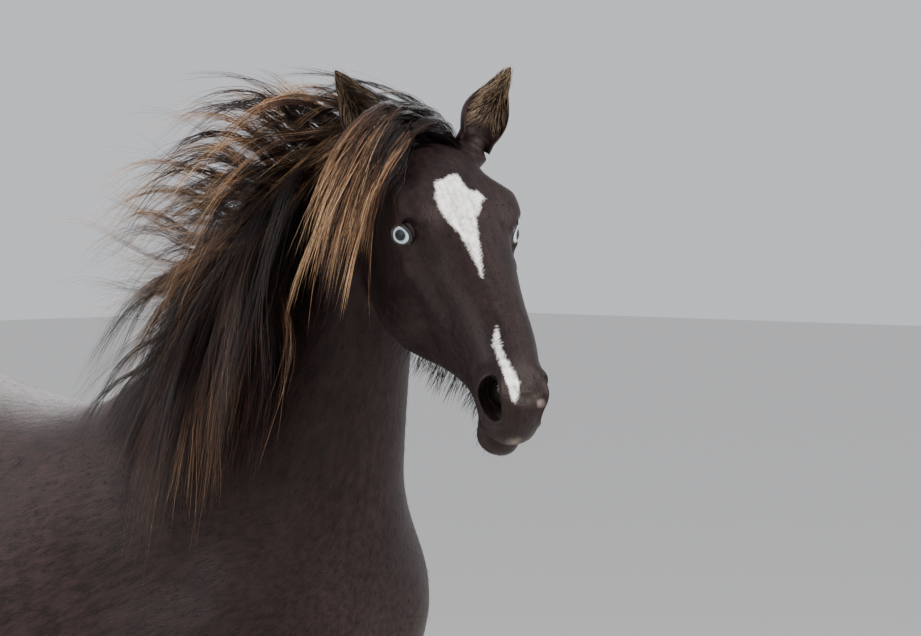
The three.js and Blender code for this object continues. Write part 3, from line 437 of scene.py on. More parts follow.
class HorseStageSettings(bpy.types.PropertyGroup):
    floor_size: bpy.props.FloatProperty(
        name="Floor size", default=60, min=5, unit="LENGTH", description="Side of the square floor"
    )
    floor: colour("Floor", (0.72, 0.71, 0.69), "Pale floor")
    lens: bpy.props.FloatProperty(
        name="Lens", default=156, min=20, unit="CAMERA", description="Focal length in millimetres"
    )


def settings(group):
    return getattr(bpy.context.scene, group)


# Meshes
def placed(name, mesh, material, slot):
    """Puts a mesh into the scene as one piece."""
    mesh.materials.append(material)
    obj = bpy.data.objects.new(name, mesh)
    bpy.context.scene.collection.objects.link(obj)
    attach(obj, "root")
    return obj


def new_object(name, verts, faces, material, slot):
    mesh = bpy.data.meshes.new(name)
    mesh.from_pydata([tuple(v) for v in (np.asarray(verts) + SHIFT) * MM], [], faces)
    mesh.polygons.foreach_set("use_smooth", [True] * len(mesh.polygons))
    return placed(name, mesh, material, slot)


def tube_faces(rows, per, inward=False):
    """Quads between rows of points, each row a closed ring."""
    faces = []
    for i in range(rows - 1):
        for j in range(per):
            m = (j + 1) % per
            faces.append((i * per + j, i * per + m, (i + 1) * per + m, (i + 1) * per + j))
    return [(a, d, c, b) for a, b, c, d in faces] if inward else faces


def turn_outward(mesh):
    """Turns the faces outward, after cutting any end face with many corners into triangles."""
    bm = bmesh.new()
    bm.from_mesh(mesh)
    ends = [f for f in bm.faces if len(f.verts) > 4]
    if ends:
        bmesh.ops.triangulate(bm, faces=ends)
    bmesh.ops.recalc_face_normals(bm, faces=bm.faces)
    bm.to_mesh(mesh)
    bm.free()


def paint(mesh, name, values):
    """A colour for each vertex."""
    layer = mesh.color_attributes.new(name, "FLOAT_COLOR", "POINT")
    rgba = np.ones((len(mesh.vertices), 4), np.float32)
    rgba[:, :3] = values
    layer.data.foreach_set("color", rgba.ravel())


def surface_net(field, low, high, cell):
    """The field's surface as quads, one vertex in each cell that it crosses."""
    axes = [np.arange(low[c], high[c] + cell, cell) for c in range(3)]
    grid = np.stack(np.meshgrid(*axes, indexing="ij"), -1)
    flat = grid.reshape(-1, 3)
    values = np.concatenate([field(part) for part in np.array_split(flat, 12)]).reshape(grid.shape[:3])
    shape = np.array(values.shape) - 1
    total, count = np.zeros((*shape, 3)), np.zeros(shape)
    for axis in range(3):
        b, d = [c for c in range(3) if c != axis]
        for db in (0, 1):
            for dd in (0, 1):
                offset = [0, 0, 0]
                offset[b], offset[d] = db, dd
                near = tuple(slice(offset[c], offset[c] + shape[c]) for c in range(3))
                offset[axis] = 1
                far = tuple(slice(offset[c], offset[c] + shape[c]) for c in range(3))
                v0, v1 = values[near], values[far]
                crosses = (v0 < 0) != (v1 < 0)
                place = np.zeros((*shape, 3))
                place[..., axis] = np.where(crosses, v0 / np.where(crosses, v0 - v1, 1), 0)
                place[..., b], place[..., d] = db, dd
                total += place * crosses[..., None]
                count += crosses
    used = count > 0
    index = np.full(shape, -1)
    index[used] = np.arange(used.sum())
    verts = grid[:-1, :-1, :-1][used] + cell * total[used] / count[used][:, None]
    faces = []
    for axis in range(3):
        b, d = (axis + 1) % 3, (axis + 2) % 3
        cut = [slice(1, n - 1) for n in values.shape]
        cut[axis] = slice(0, values.shape[axis] - 1)
        ahead = list(cut)
        ahead[axis] = slice(1, values.shape[axis])
        v0, v1 = values[tuple(cut)], values[tuple(ahead)]
        start = np.array([1, 1, 1])
        start[axis] = 0
        for rows, forward in (((v0 < 0) & (v1 >= 0), True), ((v0 >= 0) & (v1 < 0), False)):
            cells = np.argwhere(rows) + start
            ring = []
            for x, y in ((0, 0), (1, 0), (1, 1), (0, 1)):
                c = cells.copy()
                c[:, b] -= x
                c[:, d] -= y
                ring.append(index[tuple(c.T)])
            quads = np.stack(ring, -1)
            faces.append(quads if forward else quads[:, ::-1])
    return verts, np.concatenate(faces)


def settle(bm, field, rounds=2, ease=0.5):
    """Evens the vertices out along the surface and pulls them on to the field's zero."""
    bm.verts.index_update()
    co = np.array([v.co for v in bm.verts])
    pairs = np.array([(e.verts[0].index, e.verts[1].index) for e in bm.edges])
    for _ in range(rounds):
        total, count = np.zeros_like(co), np.zeros(len(co))
        np.add.at(total, pairs[:, 0], co[pairs[:, 1]])
        np.add.at(total, pairs[:, 1], co[pairs[:, 0]])
        np.add.at(count, pairs.ravel(), 1)
        co += ease * (total / count[:, None] - co)
        for _ in range(2):
            co -= outward(co, field, 0.8) * np.clip(field(co), -12, 12)[:, None]
    for v, p in zip(bm.verts, co):
        v.co = p
    return co


def split(bm, chosen):
    """Cuts the chosen faces' edges in half."""
    edges = {e for f in bm.faces if chosen[f.index] for e in f.edges}
    bmesh.ops.subdivide_edges(bm, edges=list(edges), cuts=1, use_grid_fill=True)
    bm.faces.index_update()
    bm.verts.index_update()


def face_centres(bm):
    bm.faces.index_update()
    return np.array([f.calc_center_median() for f in bm.faces])


def facing(origin, along, out):
    """A frame whose up is exactly out, and whose along is as near to the given one as that allows."""
    out = unit(out)
    return Frame(origin, along - out * (along @ out), out)


def eye_frame(side, out=(0.45, 0.28, 0.85)):
    """An eye's frame. Out, in the head's directions, points to the opening between the lids."""
    a, u, s = out
    way = a * HEAD.a + u * HEAD.u + s * side * HEAD.s
    return facing(HEAD.world(EYE[0], EYE[1], EYE[2] * side), HEAD.a + 0.12 * HEAD.u, way)


def gaze_frame(side):
    """The same, turned to where the eye looks."""
    return eye_frame(side, (0.52, 0.34, 0.78))


LID_HALF, UPPER_LID, LOWER_LID = 15.6, 12.2, 11.2


def lid_reach(x, y):
    """How far the opening between the lids reaches above or below the eye's long axis."""
    high = np.where(np.asarray(y) > 0, UPPER_LID, LOWER_LID)
    return high * np.sqrt(np.clip(1 - (np.abs(x) / LID_HALF) ** 2.2, 0.02, 1))


def lid_shape(x, y):
    """1 on the edge of the opening between the lids, in the eye's own directions."""
    return np.maximum(np.abs(x) / LID_HALF, np.abs(y) / lid_reach(x, y))


def nostril_frame(side):
    out = 0.68 * side * HEAD.s + 0.68 * HEAD.a + 0.25 * HEAD.u
    return facing(HEAD.world(516, -68, 43 * side), HEAD.a - 0.9 * HEAD.u, out)


def nostril_shape(t, s, side):
    """1 on the edge of a nostril, less inside it. Its long axis is bent."""
    bend = s + 0.008 * t**2 * side
    return np.sqrt((t / 28) ** 2 + (bend / 18.5) ** 2)


def push_openings(co):
    """Presses the eye sockets behind the balls and the nostrils into the muzzle."""
    for side in (1, -1):
        eye = eye_frame(side)
        t, u, s = eye.local(co)
        near = (np.abs(t) < 30) & (np.abs(s) < 30) & (u > 0)
        r = lid_shape(t, s * -side)
        deep = np.clip((1.02 - r) / 0.12, 0, 1) * near
        co = co - deep[:, None] * eye.u * np.clip(u - 4, 0, None)[:, None]
        hole = nostril_frame(side)
        t, u, s = hole.local(co)
        r = nostril_shape(t, s, side)
        near = (np.abs(t) < 42) & (np.abs(s) < 36) & (u > -32)
        flare = np.exp(-(((r - 1.24) / 0.18) ** 2)) * near * 2.6
        deep = np.clip((1.08 - r) / 0.40, 0, 1) ** 0.7 * near * 26
        co = co + (flare - deep)[:, None] * hole.u
    return co


# Where the coat's colours and lie change. Outlines: place along the face, and to its left
STAR = [
    (140, -1), (148, -20), (155, -39), (185, -49), (204, -48), (224, -41), (244, -31), (264, -27),
    (288, -23), (308, -20), (330, -20), (316, -15), (293, -11), (267, -6), (235, 0), (211, 11), (188, 27),
    (177, 20), (176, 7), (166, 3),
]
SNIP = [
    (418, -23), (438, -31), (467, -30), (495, -27), (511, -25), (525, -22), (537, -20), (541, -16),
    (526, -7), (512, -4), (496, -14), (473, -22), (448, -25),
]
# Pale spots on the lips: place on the head, radius and colour
LIP_SPOTS = [
    ((558, -107, -4), 9, (0.3, 0.22, 0.16)),
    ((532, -69, -42), 6, (0.45, 0.36, 0.32)),
    ((542, -56, 25), 6, (0.35, 0.27, 0.25)),
]
MOUTH_FORMS = mouth_line(1) + mouth_line(-1)
NECK_LIE = -0.75 * NECK.a + np.array([-0.25, 0, -0.45])
TRUNK_LIE = np.array([-1, 0, -0.42])
LEG_LIE = np.array([-0.15, 0, -1])


def outline_mask(l, s, outline, soft):
    """1 inside a marking's outline on the face, 0 outside, blended over soft millimetres."""
    p, corners = np.stack([l, s], -1), np.array(outline, float)
    near, inside = np.full(len(l), 1e9), np.zeros(len(l), bool)
    for a, b in zip(corners, np.roll(corners, -1, axis=0)):
        ab = b - a
        x = np.clip((p - a) @ ab / (ab @ ab), 0, 1)
        near = np.minimum(near, np.linalg.norm(p - a - x[:, None] * ab, axis=1))
        rise = ab[1] if abs(ab[1]) > 1e-6 else 1e-6
        inside ^= ((a[1] > s) != (b[1] > s)) & (l < a[0] + (s - a[1]) / rise * ab[0])
    return np.clip(np.where(inside, near, -near) / soft + 0.5, 0, 1)


def ripple(p, scale, seed):
    """Smooth pseudo-noise between -1 and 1."""
    rng = np.random.default_rng(seed)
    total = np.zeros(len(p))
    for i in range(5):
        k = rng.normal(size=3) / scale * (1 + 0.6 * i)
        total += np.sin(p @ k + rng.uniform(0, 6.3)) / (1 + 0.5 * i)
    return total / 2.6


def white_mask(p):
    """1 where the face is white."""
    l, u, s = HEAD.local(p)
    front = np.clip((u + 66) / 8, 0, 1)
    edge = 2.0 * ripple(p, 4.5, 5) + 2.2 * ripple(p, 1.7, 6)
    star, snip = outline_mask(l + edge, s + edge, STAR, 4.5), outline_mask(l, s + edge, SNIP, 4)
    return front * np.maximum(star, snip)


def fade(x):
    """Goes smoothly from 1, where x is well below 0, to 0."""
    return 1 / (1 + np.exp(np.clip(x, -30, 30)))


def region_weights(p):
    """Head, neck, trunk and leg shares of each point."""
    head = fade(head_field(p) / 18)
    leg = fade((p[:, 2] - 720) / 40)
    neck = fade(-(NECK.local(p)[0] - 190) / 45) * (1 - head)
    trunk = np.clip(1 - head - leg - neck, 0, 1)
    w = np.stack([head, neck, trunk, leg], -1)
    return w / w.sum(-1, keepdims=True)


def coat_lie(p, normal):
    """The direction in which the coat lies."""
    w = region_weights(p)
    side = np.sign(p[:, 1])[:, None] * np.array([0, 1, 0])
    trunk_lie = TRUNK_LIE + 0.12 * side
    way = w[:, :1] * HEAD.a + w[:, 1:2] * NECK_LIE + w[:, 2:3] * trunk_lie + w[:, 3:] * LEG_LIE
    swirl = 0.28 * ripple(p, 60, 9)[:, None] * np.cross(normal, way)
    way = way + swirl
    return unit(way - (way * normal).sum(-1, keepdims=True) * normal)


def coat_tint(p):
    """The colour of the skin and of the coat that grows there, with a painted sheen lightening the top of the
    back and barrel, and painted shade in the groove between the lips and inside the nostrils.
    """
    body = settings("horse_body")
    coat, back, muzzle, white = (np.array(c) for c in (body.coat, body.back, body.muzzle, body.white))
    w = region_weights(p)
    l = HEAD.local(p)[0]
    # Painted sheen: the back colour is blended in towards the top of the trunk, a lighter tone standing in
    # for the light on the back and barrel.
    high = np.clip((p[:, 2] - 780) / 420, 0, 1) * w[:, 2] * np.clip((420 - p[:, 0]) / 320, 0, 1)
    tint = coat + (back - coat) * (high * (0.85 + 0.3 * ripple(p, 90, 3)))[:, None]
    bare = np.clip((l - 470) / 60, 0, 1) * w[:, 0]
    tint = tint + (muzzle - tint) * bare[:, None]
    tint = tint * (1 + 0.16 * ripple(p, 45, 4))[:, None]
    for at, radius, shade in LIP_SPOTS:
        away = np.linalg.norm(p - HEAD.world(*at), axis=1) / radius
        spot = np.clip(1.3 - away + 0.3 * ripple(p, 3, 7), 0, 1) * 0.5
        tint = tint + (np.array(shade) - tint) * spot[:, None]
    # Painted shade: the skin is darkened along the groove between the lips.
    line = np.minimum.reduce([form(p) for form in MOUTH_FORMS])
    tint = tint * (1 - 0.8 * np.exp(-np.clip(line, 0, None) / 2.5))[:, None]
    tint = tint * (1 - 0.25 * w[:, 1:2])
    # Painted shade: the inside of each nostril is darkened almost to black.
    for side in (1, -1):
        t, u, s = nostril_frame(side).local(p)
        inside = np.clip((0.96 - nostril_shape(t, s, side)) / 0.3, 0, 1)
        tint = tint * (1 - 0.92 * inside * (np.abs(u) < 45))[:, None]
    mask = white_mask(p)[:, None]
    return np.clip(tint * (1 - mask) + white * mask, 0, 1)


# Materials
def feed(tree, value, socket):
    """Gives a socket another node's output or a fixed value."""
    if isinstance(value, bpy.types.NodeSocket):
        tree.links.new(value, socket)
    else:
        socket.default_value = value


def effect_group(name, inputs, outputs):
    tree = bpy.data.node_groups.new(name, "ShaderNodeTree")
    for label, kind, default in inputs:
        socket = tree.interface.new_socket(name=label, in_out="INPUT", socket_type=kind)
        if default is not None:
            socket.default_value = default
    for label, kind in outputs:
        tree.interface.new_socket(name=label, in_out="OUTPUT", socket_type=kind)
    return tree, tree.nodes.new("NodeGroupInput"), tree.nodes.new("NodeGroupOutput")


def use_group(tree, name, make):
    node = tree.nodes.new("ShaderNodeGroup")
    node.node_tree = bpy.data.node_groups.get(name) or make(name)
    return node


def maths(tree, kind, a, b):
    node = tree.nodes.new("ShaderNodeMath")
    node.operation = kind
    feed(tree, a, node.inputs[0])
    feed(tree, b, node.inputs[1])
    return node.outputs[0]


def graded(tree, value, factor, base):
    return maths(tree, "ADD", maths(tree, "MULTIPLY", value, factor), base)


def remapped(tree, value, low, high, start=0.0, end=1.0):
    """A value that runs from start to end, turned into one that runs from low to high."""
    node = tree.nodes.new("ShaderNodeMapRange")
    ends = {"Value": value, "From Min": start, "From Max": end, "To Min": low, "To Max": high}
    for label, number in ends.items():
        feed(tree, number, node.inputs[label])
    return node.outputs[0]


def brightened(tree, tint, factor):
    node = tree.nodes.new("ShaderNodeVectorMath")
    node.operation = "SCALE"
    feed(tree, tint, node.inputs[0])
    feed(tree, factor, node.inputs["Scale"])
    return node.outputs[0]


def bumped(tree, height, strength, distance):
    node = tree.nodes.new("ShaderNodeBump")
    for label, value in (("Strength", strength), ("Distance", distance), ("Height", height)):
        feed(tree, value, node.inputs[label])
    return node.outputs[0]


def object_place(tree):
    return tree.nodes.new("ShaderNodeTexCoord").outputs["Object"]


def painted(tree, name):
    node = tree.nodes.new("ShaderNodeVertexColor")
    node.layer_name = name
    return node.outputs["Color"]


def plain_noise(tree, place, scale, detail, roughness=0.5):
    noise = tree.nodes.new("ShaderNodeTexNoise")
    for label, value in (("Vector", place), ("Scale", scale), ("Detail", detail), ("Roughness", roughness)):
        feed(tree, value, noise.inputs[label])
    return noise.outputs["Fac"]


def lying_noise(tree, place, way, stretch, scale, detail=3.0):
    """Noise drawn out along one direction."""
    turn = tree.nodes.new("ShaderNodeMapping")
    turn.vector_type = "TEXTURE"
    turn.inputs["Rotation"].default_value = Vector(way).to_track_quat("X", "Z").to_euler()
    turn.inputs["Scale"].default_value = (stretch, 1, 1)
    feed(tree, place, turn.inputs["Vector"])
    return plain_noise(tree, turn.outputs[0], scale, detail, 0.6)


def coat_streaks(name):
    """Fine short hairs: a height and a tone, lying as each region's weight says."""
    tree, start, end = effect_group(
        name, [("Regions", "NodeSocketColor", None), ("Leg", "NodeSocketFloat", 0.0)],
        [("Height", "NodeSocketFloat"), ("Tone", "NodeSocketFloat")],
    )
    place = object_place(tree)
    share = tree.nodes.new("ShaderNodeSeparateColor")
    feed(tree, start.outputs["Regions"], share.inputs[0])
    height = tone = None
    for way, part in zip((HEAD.a, NECK_LIE, TRUNK_LIE, LEG_LIE), (*share.outputs, start.outputs["Leg"])):
        fine = maths(tree, "MULTIPLY", lying_noise(tree, place, way, 9, 620), part)
        broad = maths(tree, "MULTIPLY", lying_noise(tree, place, way, 6, 110, 4), part)
        height = fine if height is None else maths(tree, "ADD", height, fine)
        tone = broad if tone is None else maths(tree, "ADD", tone, broad)
    feed(tree, maths(tree, "ADD", height, maths(tree, "MULTIPLY", tone, 1.4)), end.inputs["Height"])
    feed(tree, tone, end.inputs["Tone"])
    return tree


def strand_tone(name):
    """Strand-to-strand change of tone, from the painted colour."""
    inputs = [("Colour", "NodeSocketColor", None)]
    inputs += [("Low", "NodeSocketFloat", 0.7), ("High", "NodeSocketFloat", 1.4)]
    outputs = [("Colour", "NodeSocketColor"), ("Roughness", "NodeSocketFloat")]
    tree, start, end = effect_group(name, inputs, outputs)
    noise = plain_noise(tree, object_place(tree), 180, 2)
    factor = remapped(tree, noise, start.outputs["Low"], start.outputs["High"], 0.3, 0.7)
    feed(tree, brightened(tree, start.outputs["Colour"], factor), end.inputs["Colour"])
    feed(tree, graded(tree, noise, 0.25, 0.30), end.inputs["Roughness"])
    return tree


def new_material(name, look):
    """A material whose shader's inputs come from look, a function of its node tree."""
    material = bpy.data.materials.new(name)
    material.use_nodes = True
    tree = material.node_tree
    for label, value in look(tree).items():
        feed(tree, value, tree.nodes["Principled BSDF"].inputs[label])
    return material


def skin_look(tree):
    streaks = use_group(tree, "Coat streaks", coat_streaks)
    feed(tree, painted(tree, "Regions"), streaks.inputs["Regions"])
    leg = tree.nodes.new("ShaderNodeSeparateColor")
    feed(tree, painted(tree, "Legs"), leg.inputs[0])
    feed(tree, leg.outputs[0], streaks.inputs["Leg"])
    tone = streaks.outputs["Tone"]
    return {
        "Base Color": brightened(tree, painted(tree, "Tint"), remapped(tree, tone, 0.55, 1.6, 0.36, 0.64)),
        "Roughness": graded(tree, tone, 0.3, 0.30),
        "Specular IOR Level": 0.2, "Specular Tint": (1.0, 0.84, 0.76, 1),
        "Sheen Weight": 0.03, "Sheen Roughness": 0.4, "Sheen Tint": (0.62, 0.55, 0.60, 1),
        "Normal": bumped(tree, streaks.outputs["Height"], 0.55, 0.0016),
    }


def hair_look(tree, low=0.7, high=1.4, sheen=0.0):
    tone = use_group(tree, "Strand tone", strand_tone)
    for label, value in (("Colour", painted(tree, "Tint")), ("Low", low), ("High", high)):
        feed(tree, value, tone.inputs[label])
    return {
        "Base Color": tone.outputs["Colour"], "Roughness": tone.outputs["Roughness"],
        "Specular IOR Level": 0.3, "Sheen Weight": sheen,
    }


def short_hair_look(tree):
    return hair_look(tree, 0.85, 1.2, 0.02)


def horn_look(tree):
    ridges = lying_noise(tree, object_place(tree), (1, 0.4, 0), 12, 240, 3)
    ramp = tree.nodes.new("ShaderNodeValToRGB")
    ends = ((0.35, (0.016, 0.013, 0.012, 1)), (0.7, (0.075, 0.062, 0.052, 1)))
    for stop, (position, tint) in zip(ramp.color_ramp.elements, ends):
        stop.position, stop.color = position, tint
    feed(tree, ridges, ramp.inputs[0])
    return {
        "Base Color": ramp.outputs[0], "Roughness": graded(tree, ridges, 0.4, 0.3),
        "Normal": bumped(tree, ridges, 0.4, 0.001),
    }


def eye_look(tree):
    return {
        "Base Color": painted(tree, "Tint"), "Roughness": 0.25, "Specular IOR Level": 0.2,
        "Coat Weight": 0.06, "Coat Roughness": 0.02,
    }


def plain_look(tree, tint, roughness):
    noise = lying_noise(tree, object_place(tree), (1, 0, 0), 1, 300, 3)
    return {"Base Color": brightened(tree, tint, remapped(tree, noise, 0.6, 1.4)), "Roughness": roughness}


def lid_look(tree):
    return plain_look(tree, (0.011, 0.008, 0.008), 0.42)


def floor_look(tree):
    return plain_look(tree, tuple(settings("horse_stage").floor), 0.8)


LOOKS = {
    "Horse skin": skin_look, "Long hair": hair_look, "Short hair": short_hair_look, "Hoof horn": horn_look,
    "Eye": eye_look, "Lid skin": lid_look, "Floor": floor_look,
}


def finish_of(name):
    """The material of that name, made when it is first asked for."""
    return bpy.data.materials.get(name) or new_material(name, LOOKS[name])


# Hair
def skin_uv(p):
    """Where a point of the skin lies on its unwrap: each flank laid flat in its own half."""
    across = (p[:, 0] + 950) / 2300
    height = p[:, 2] / 1900
    return np.stack([0.02 + 0.96 * across, np.where(p[:, 1] > 0, 0.02, 0.51) + 0.46 * height], -1)


def march(root, leave, heading, drop, length, steps, clear, sway, rng, turn=0.42, field=hair_field):
    """Paths of n locks that leave the skin and turn to their heading, kept clear of the body."""
    n = len(root)
    path = np.empty((n, steps + 1, 3))
    path[:, 0] = root
    along, p = leave.copy(), root.copy()
    phase, cycles = rng.uniform(0, 6.3, n), rng.uniform(3.5, 10, n)
    side = unit(np.cross(heading, (0, 0, 1)) + 1e-6)
    for i in range(1, steps + 1):
        x = i / steps
        wave = np.sin(cycles * x + phase)[:, None] * sway[:, None]
        lift = np.cos(cycles * 0.8 * x + phase * 1.7)[:, None] * sway[:, None]
        fall = np.array([0, 0, -1]) * (drop * x)[:, None]
        want = unit(heading + fall + side * wave + np.array([0, 0, 1.5]) * lift)
        along = unit(along * (1 - turn) + want * turn)
        step = p + along * (length / steps)[:, None]
        for _ in range(2):
            short = clear - field(step)
            close = short > 0
            if close.any():
                step[close] += outward(step[close], field, 4) * short[close][:, None]
        along = unit(step - p)
        p = step
        path[:, i] = p
    return path


def strands_of(guides, count, spread, tight, frizz, rng, flat=0.5):
    """Strands round each guide path: they start spread out over the root and draw together along the lock."""
    n, k, _ = guides.shape
    x = np.linspace(0, 1, k)
    lead = np.repeat(np.arange(n), count)
    base = guides[lead]
    along = unit(np.gradient(base, axis=1))
    across = unit(np.cross(along, np.array([0, 0, 1.0])) + 1e-6)
    rise = np.cross(along, across)
    angle, radius = rng.uniform(0, 2 * np.pi, len(lead)), np.sqrt(rng.uniform(0, 1, len(lead)))
    width = (spread * (1 - (1 - tight) * np.minimum(1, 1.4 * x[None, :]))) * radius[:, None]
    frizz = frizz * np.where(rng.uniform(size=len(lead)) < 0.12, 2.2, 0.55)
    fan = (rng.normal(size=len(lead)) * frizz)[:, None] * x[None, :] ** 1.6
    lift = (rng.normal(size=len(lead)) * frizz)[:, None] * x[None, :] ** 1.6
    turn = angle[:, None] + x[None, :] * rng.normal(0, 1.2, len(lead))[:, None]
    sideways, upward = np.cos(turn) * width + fan, flat * np.sin(turn) * width + lift
    offset = sideways[..., None] * across + upward[..., None] * rise
    wobble = rng.uniform(0, 6.3, len(lead))
    curl = np.sin(x[None, :] * 9 + wobble[:, None]) * frizz[:, None] * 0.22 * x[None, :]
    return base + offset + curl[..., None] * across, lead


def keep_off(paths, field, clear):
    """Moves points that come too near to the field off it."""
    flat = paths.reshape(-1, 3)
    for _ in range(2):
        depth = clear - np.concatenate([field(part) for part in np.array_split(flat, 8)])
        close = np.flatnonzero(depth > 0)
        if not len(close):
            break
        flat[close] += outward(flat[close], field, 3) * depth[close][:, None]
    return flat.reshape(paths.shape)


def trim_lengths(paths, shares):
    """Each strand ends at its own share of its path."""
    n, k, _ = paths.shape
    at = np.linspace(0, 1, k)[None, :] * shares[:, None] * (k - 1)
    low = np.minimum(np.floor(at).astype(int), k - 2)
    part = (at - low)[..., None]
    rows = np.arange(n)[:, None]
    return paths[rows, low] * (1 - part) + paths[rows, low + 1] * part


def strand_pieces(name, paths, tints, half_width, half_depth, material, slot, across=None, limit=190000):
    """Closed three-sided strands, in as many pieces as their size needs."""
    n, k, _ = paths.shape
    each = (k - 2) * 6 + 4
    groups = max(1, math.ceil(n * each / limit))
    made = []
    for g, rows in enumerate(np.array_split(np.arange(n), groups)):
        label = name if groups == 1 else f"{name}_{g + 1}"
        side = None if across is None else across[rows]
        part = (paths[rows], tints[rows], half_width[rows], half_depth[rows])
        made.append(strand_mesh(label, *part, material, slot, side))
    return made


def strand_mesh(name, paths, tints, half_width, half_depth, material, slot, across):
    """One piece: three-sided strands that taper to their tips, with a patch of the unwrap for each."""
    n, k, _ = paths.shape
    along = unit(np.gradient(paths, axis=1))
    if across is None:
        out = outward(paths[:, min(2, k - 1)])
        across = np.cross(along[:, min(2, k - 1)], out)
    side = across[:, None, :] - (across[:, None, :] * along).sum(-1, keepdims=True) * along
    side = unit(side + 1e-6)
    lift = np.cross(along, side)
    x = np.linspace(0, 1, k)
    taper = (np.minimum(1, 0.55 + 2.2 * x) * (1 - x**3.2))[None, :, None]
    wide, deep = half_width[:, None, None] * taper, half_depth[:, None, None] * taper
    ring = np.stack([paths + side * wide, paths + lift * deep, paths - side * wide], 2)[:, : k - 1]
    verts = np.concatenate([ring.reshape(n, -1, 3), paths[:, -1:]], 1)
    per = verts.shape[1]
    quads = tube_faces(k - 1, 3)
    last = (k - 2) * 3
    tris = [(0, 2, 1)] + [(last + j, last + (j + 1) % 3, per - 1) for j in range(3)]
    start = np.arange(n)[:, None, None] * per
    quads = (np.array(quads)[None] + start).reshape(-1, 4)
    tris = (np.array(tris)[None] + start).reshape(-1, 3)
    mesh = bpy.data.meshes.new(name)
    mesh.vertices.add(n * per)
    mesh.vertices.foreach_set("co", ((verts.reshape(-1, 3) + SHIFT) * MM).astype(np.float32).ravel())
    loops = np.concatenate([quads.ravel(), tris.ravel()]).astype(np.int32)
    mesh.loops.add(len(loops))
    mesh.loops.foreach_set("vertex_index", loops)
    starts = np.concatenate([np.arange(len(quads)) * 4, len(quads) * 4 + np.arange(len(tris)) * 3])
    mesh.polygons.add(len(starts))
    mesh.polygons.foreach_set("loop_start", starts.astype(np.int32))
    mesh.update(calc_edges=True)
    mesh.polygons.foreach_set("use_smooth", np.ones(len(starts), bool))
    shade = np.concatenate([np.repeat(tints[:, : k - 1], 3, axis=1), tints[:, -1:]], 1)
    paint(mesh, "Tint", shade.reshape(-1, 3))
    patch = np.stack([np.tile([0.0, 0.5, 1.0], k - 1), np.repeat(x[: k - 1], 3)], -1)
    patch = np.concatenate([patch, [[0.5, 1.0]]]) * 0.003
    uv = (skin_uv(paths[:, 0])[:, None] + patch[None]).reshape(-1, 2)
    layer = mesh.uv_layers.new(name="OFBake")
    layer.data.foreach_set("uv", uv[loops].astype(np.float32).ravel())
    return placed(name, mesh, material, slot)


def hair_tints(k, gold, rng, tones=None):
    """The colours along each strand. Gold, from 0 to 1, brings the pale end nearer to the root."""
    hair = settings("horse_hair")
    root, middle, tip = np.array(hair.root), np.array(hair.middle), np.array(hair.tip)
    x = np.linspace(0, 1, k)[None, :]
    gold = np.asarray(gold)[:, None]
    rise = np.clip((x - (0.84 - 0.6 * gold)) / 0.32, 0, 1)
    bright = np.clip((x - (1.16 - 0.66 * gold)) / 0.3, 0, 1)
    shade = root + (middle - root) * rise[..., None]
    shade = shade + (tip - shade) * bright[..., None]
    tone = rng.uniform(0.65, 1.4, len(gold)) * (1 if tones is None else tones)
    return np.clip(shade * tone[:, None, None], 0, 1)


def crest(t, lean, inset=3.0):
    """Points on the neck's crest, leaning to the horse's left where lean is above 0."""
    way = unit(NECK.u[None] + lean[:, None] * NECK.s[None])
    return on_skin(NECK.world(t, 0 * t, 0 * t), way, 420, skin_field, inset), way


# A family of mane locks: how many, the strands in each and the radius of its root, then ranges of its place
# along the crest, lean to the left, rise, blow to the near side, drop and length. Share is how many of the
# locks the sun has reached and pale how far it has bleached them. Clear is a range of height over the skin,
# and sway is how wavy the locks are.
Family = namedtuple(
    "Family", "name count strands radius place lean rise near drop length share pale clear sway"
)
MANE_FAMILIES = [
    Family("curls", 64, 17, 7, (575, 680), (-0.4, 0.25), (0.1, 0.7), (0.0, 0.3),
           (0.2, 1.1), (200, 330), 0.75, (0.65, 1.0), (6, 48), 1.2),
    Family("stream", 112, 24, 9, (430, 670), (-0.4, 0.15), (-0.4, 0.15), (0.0, 0.35),
           (0.3, 1.2), (290, 440), 0.6, (0.55, 1.0), (5, 50), 0.95),
    Family("streaks", 34, 16, 6, (500, 670), (-0.7, -0.3), (-0.6, -0.05), (0.3, 0.6),
           (0.2, 1.0), (290, 420), 0.8, (0.75, 1.0), (26, 58), 0.65),
    Family("low", 92, 28, 10, (380, 620), (-0.4, 0.1), (-1.6, -0.5), (0.0, 0.45),
           (1.0, 2.2), (340, 470), 0.35, (0.4, 0.75), (5, 42), 0.7),
    Family("near", 84, 28, 11, (400, 660), (-0.8, -0.2), (-2.6, -1.2), (0.2, 0.8),
           (0.8, 1.8), (320, 480), 0.0, (0, 0.2), (4, 26), 0.35),
    Family("hanging", 72, 26, 10, (450, 650), (-0.8, -0.2), (-5.0, -2.2), (0.3, 1.1),
           (1.0, 2.0), (460, 640), 0.3, (0.35, 0.65), (5, 36), 0.5),
    Family("withers", 26, 26, 10, (220, 400), (-0.5, 0.0), (-1.6, -0.6), (0.0, 0.4),
           (1.2, 2.2), (240, 340), 0.2, (0.35, 0.6), (4, 24), 0.5),
]


def lock_gold(n, share, pale, rng):
    """How pale each lock's end is: a share of the locks are pale, the rest stay dark."""
    return np.where(rng.uniform(size=n) < share, rng.uniform(*pale, n), rng.uniform(0, 0.24, n))


def mane_locks(family, rng):
    """The guide paths of one family's locks, with how gold each is."""
    n = family.count
    root, way = crest(rng.uniform(*family.place, n), rng.uniform(*family.lean, n))
    rise, near = rng.uniform(*family.rise, n), rng.uniform(*family.near, n) + rng.normal(0, 0.12, n)
    heading = unit(WIND[None] + rise[:, None] * np.array([0, 0, 1]) + near[:, None] * TOWARDS)
    path = march(
        root, unit(way + 0.5 * WIND), heading, rng.uniform(*family.drop, n),
        rng.uniform(*family.length, n), 10, rng.uniform(*family.clear, n),
        np.abs(rng.normal(family.sway, 0.2, n)), rng,
    )
    return path, lock_gold(n, family.share, family.pale, rng)


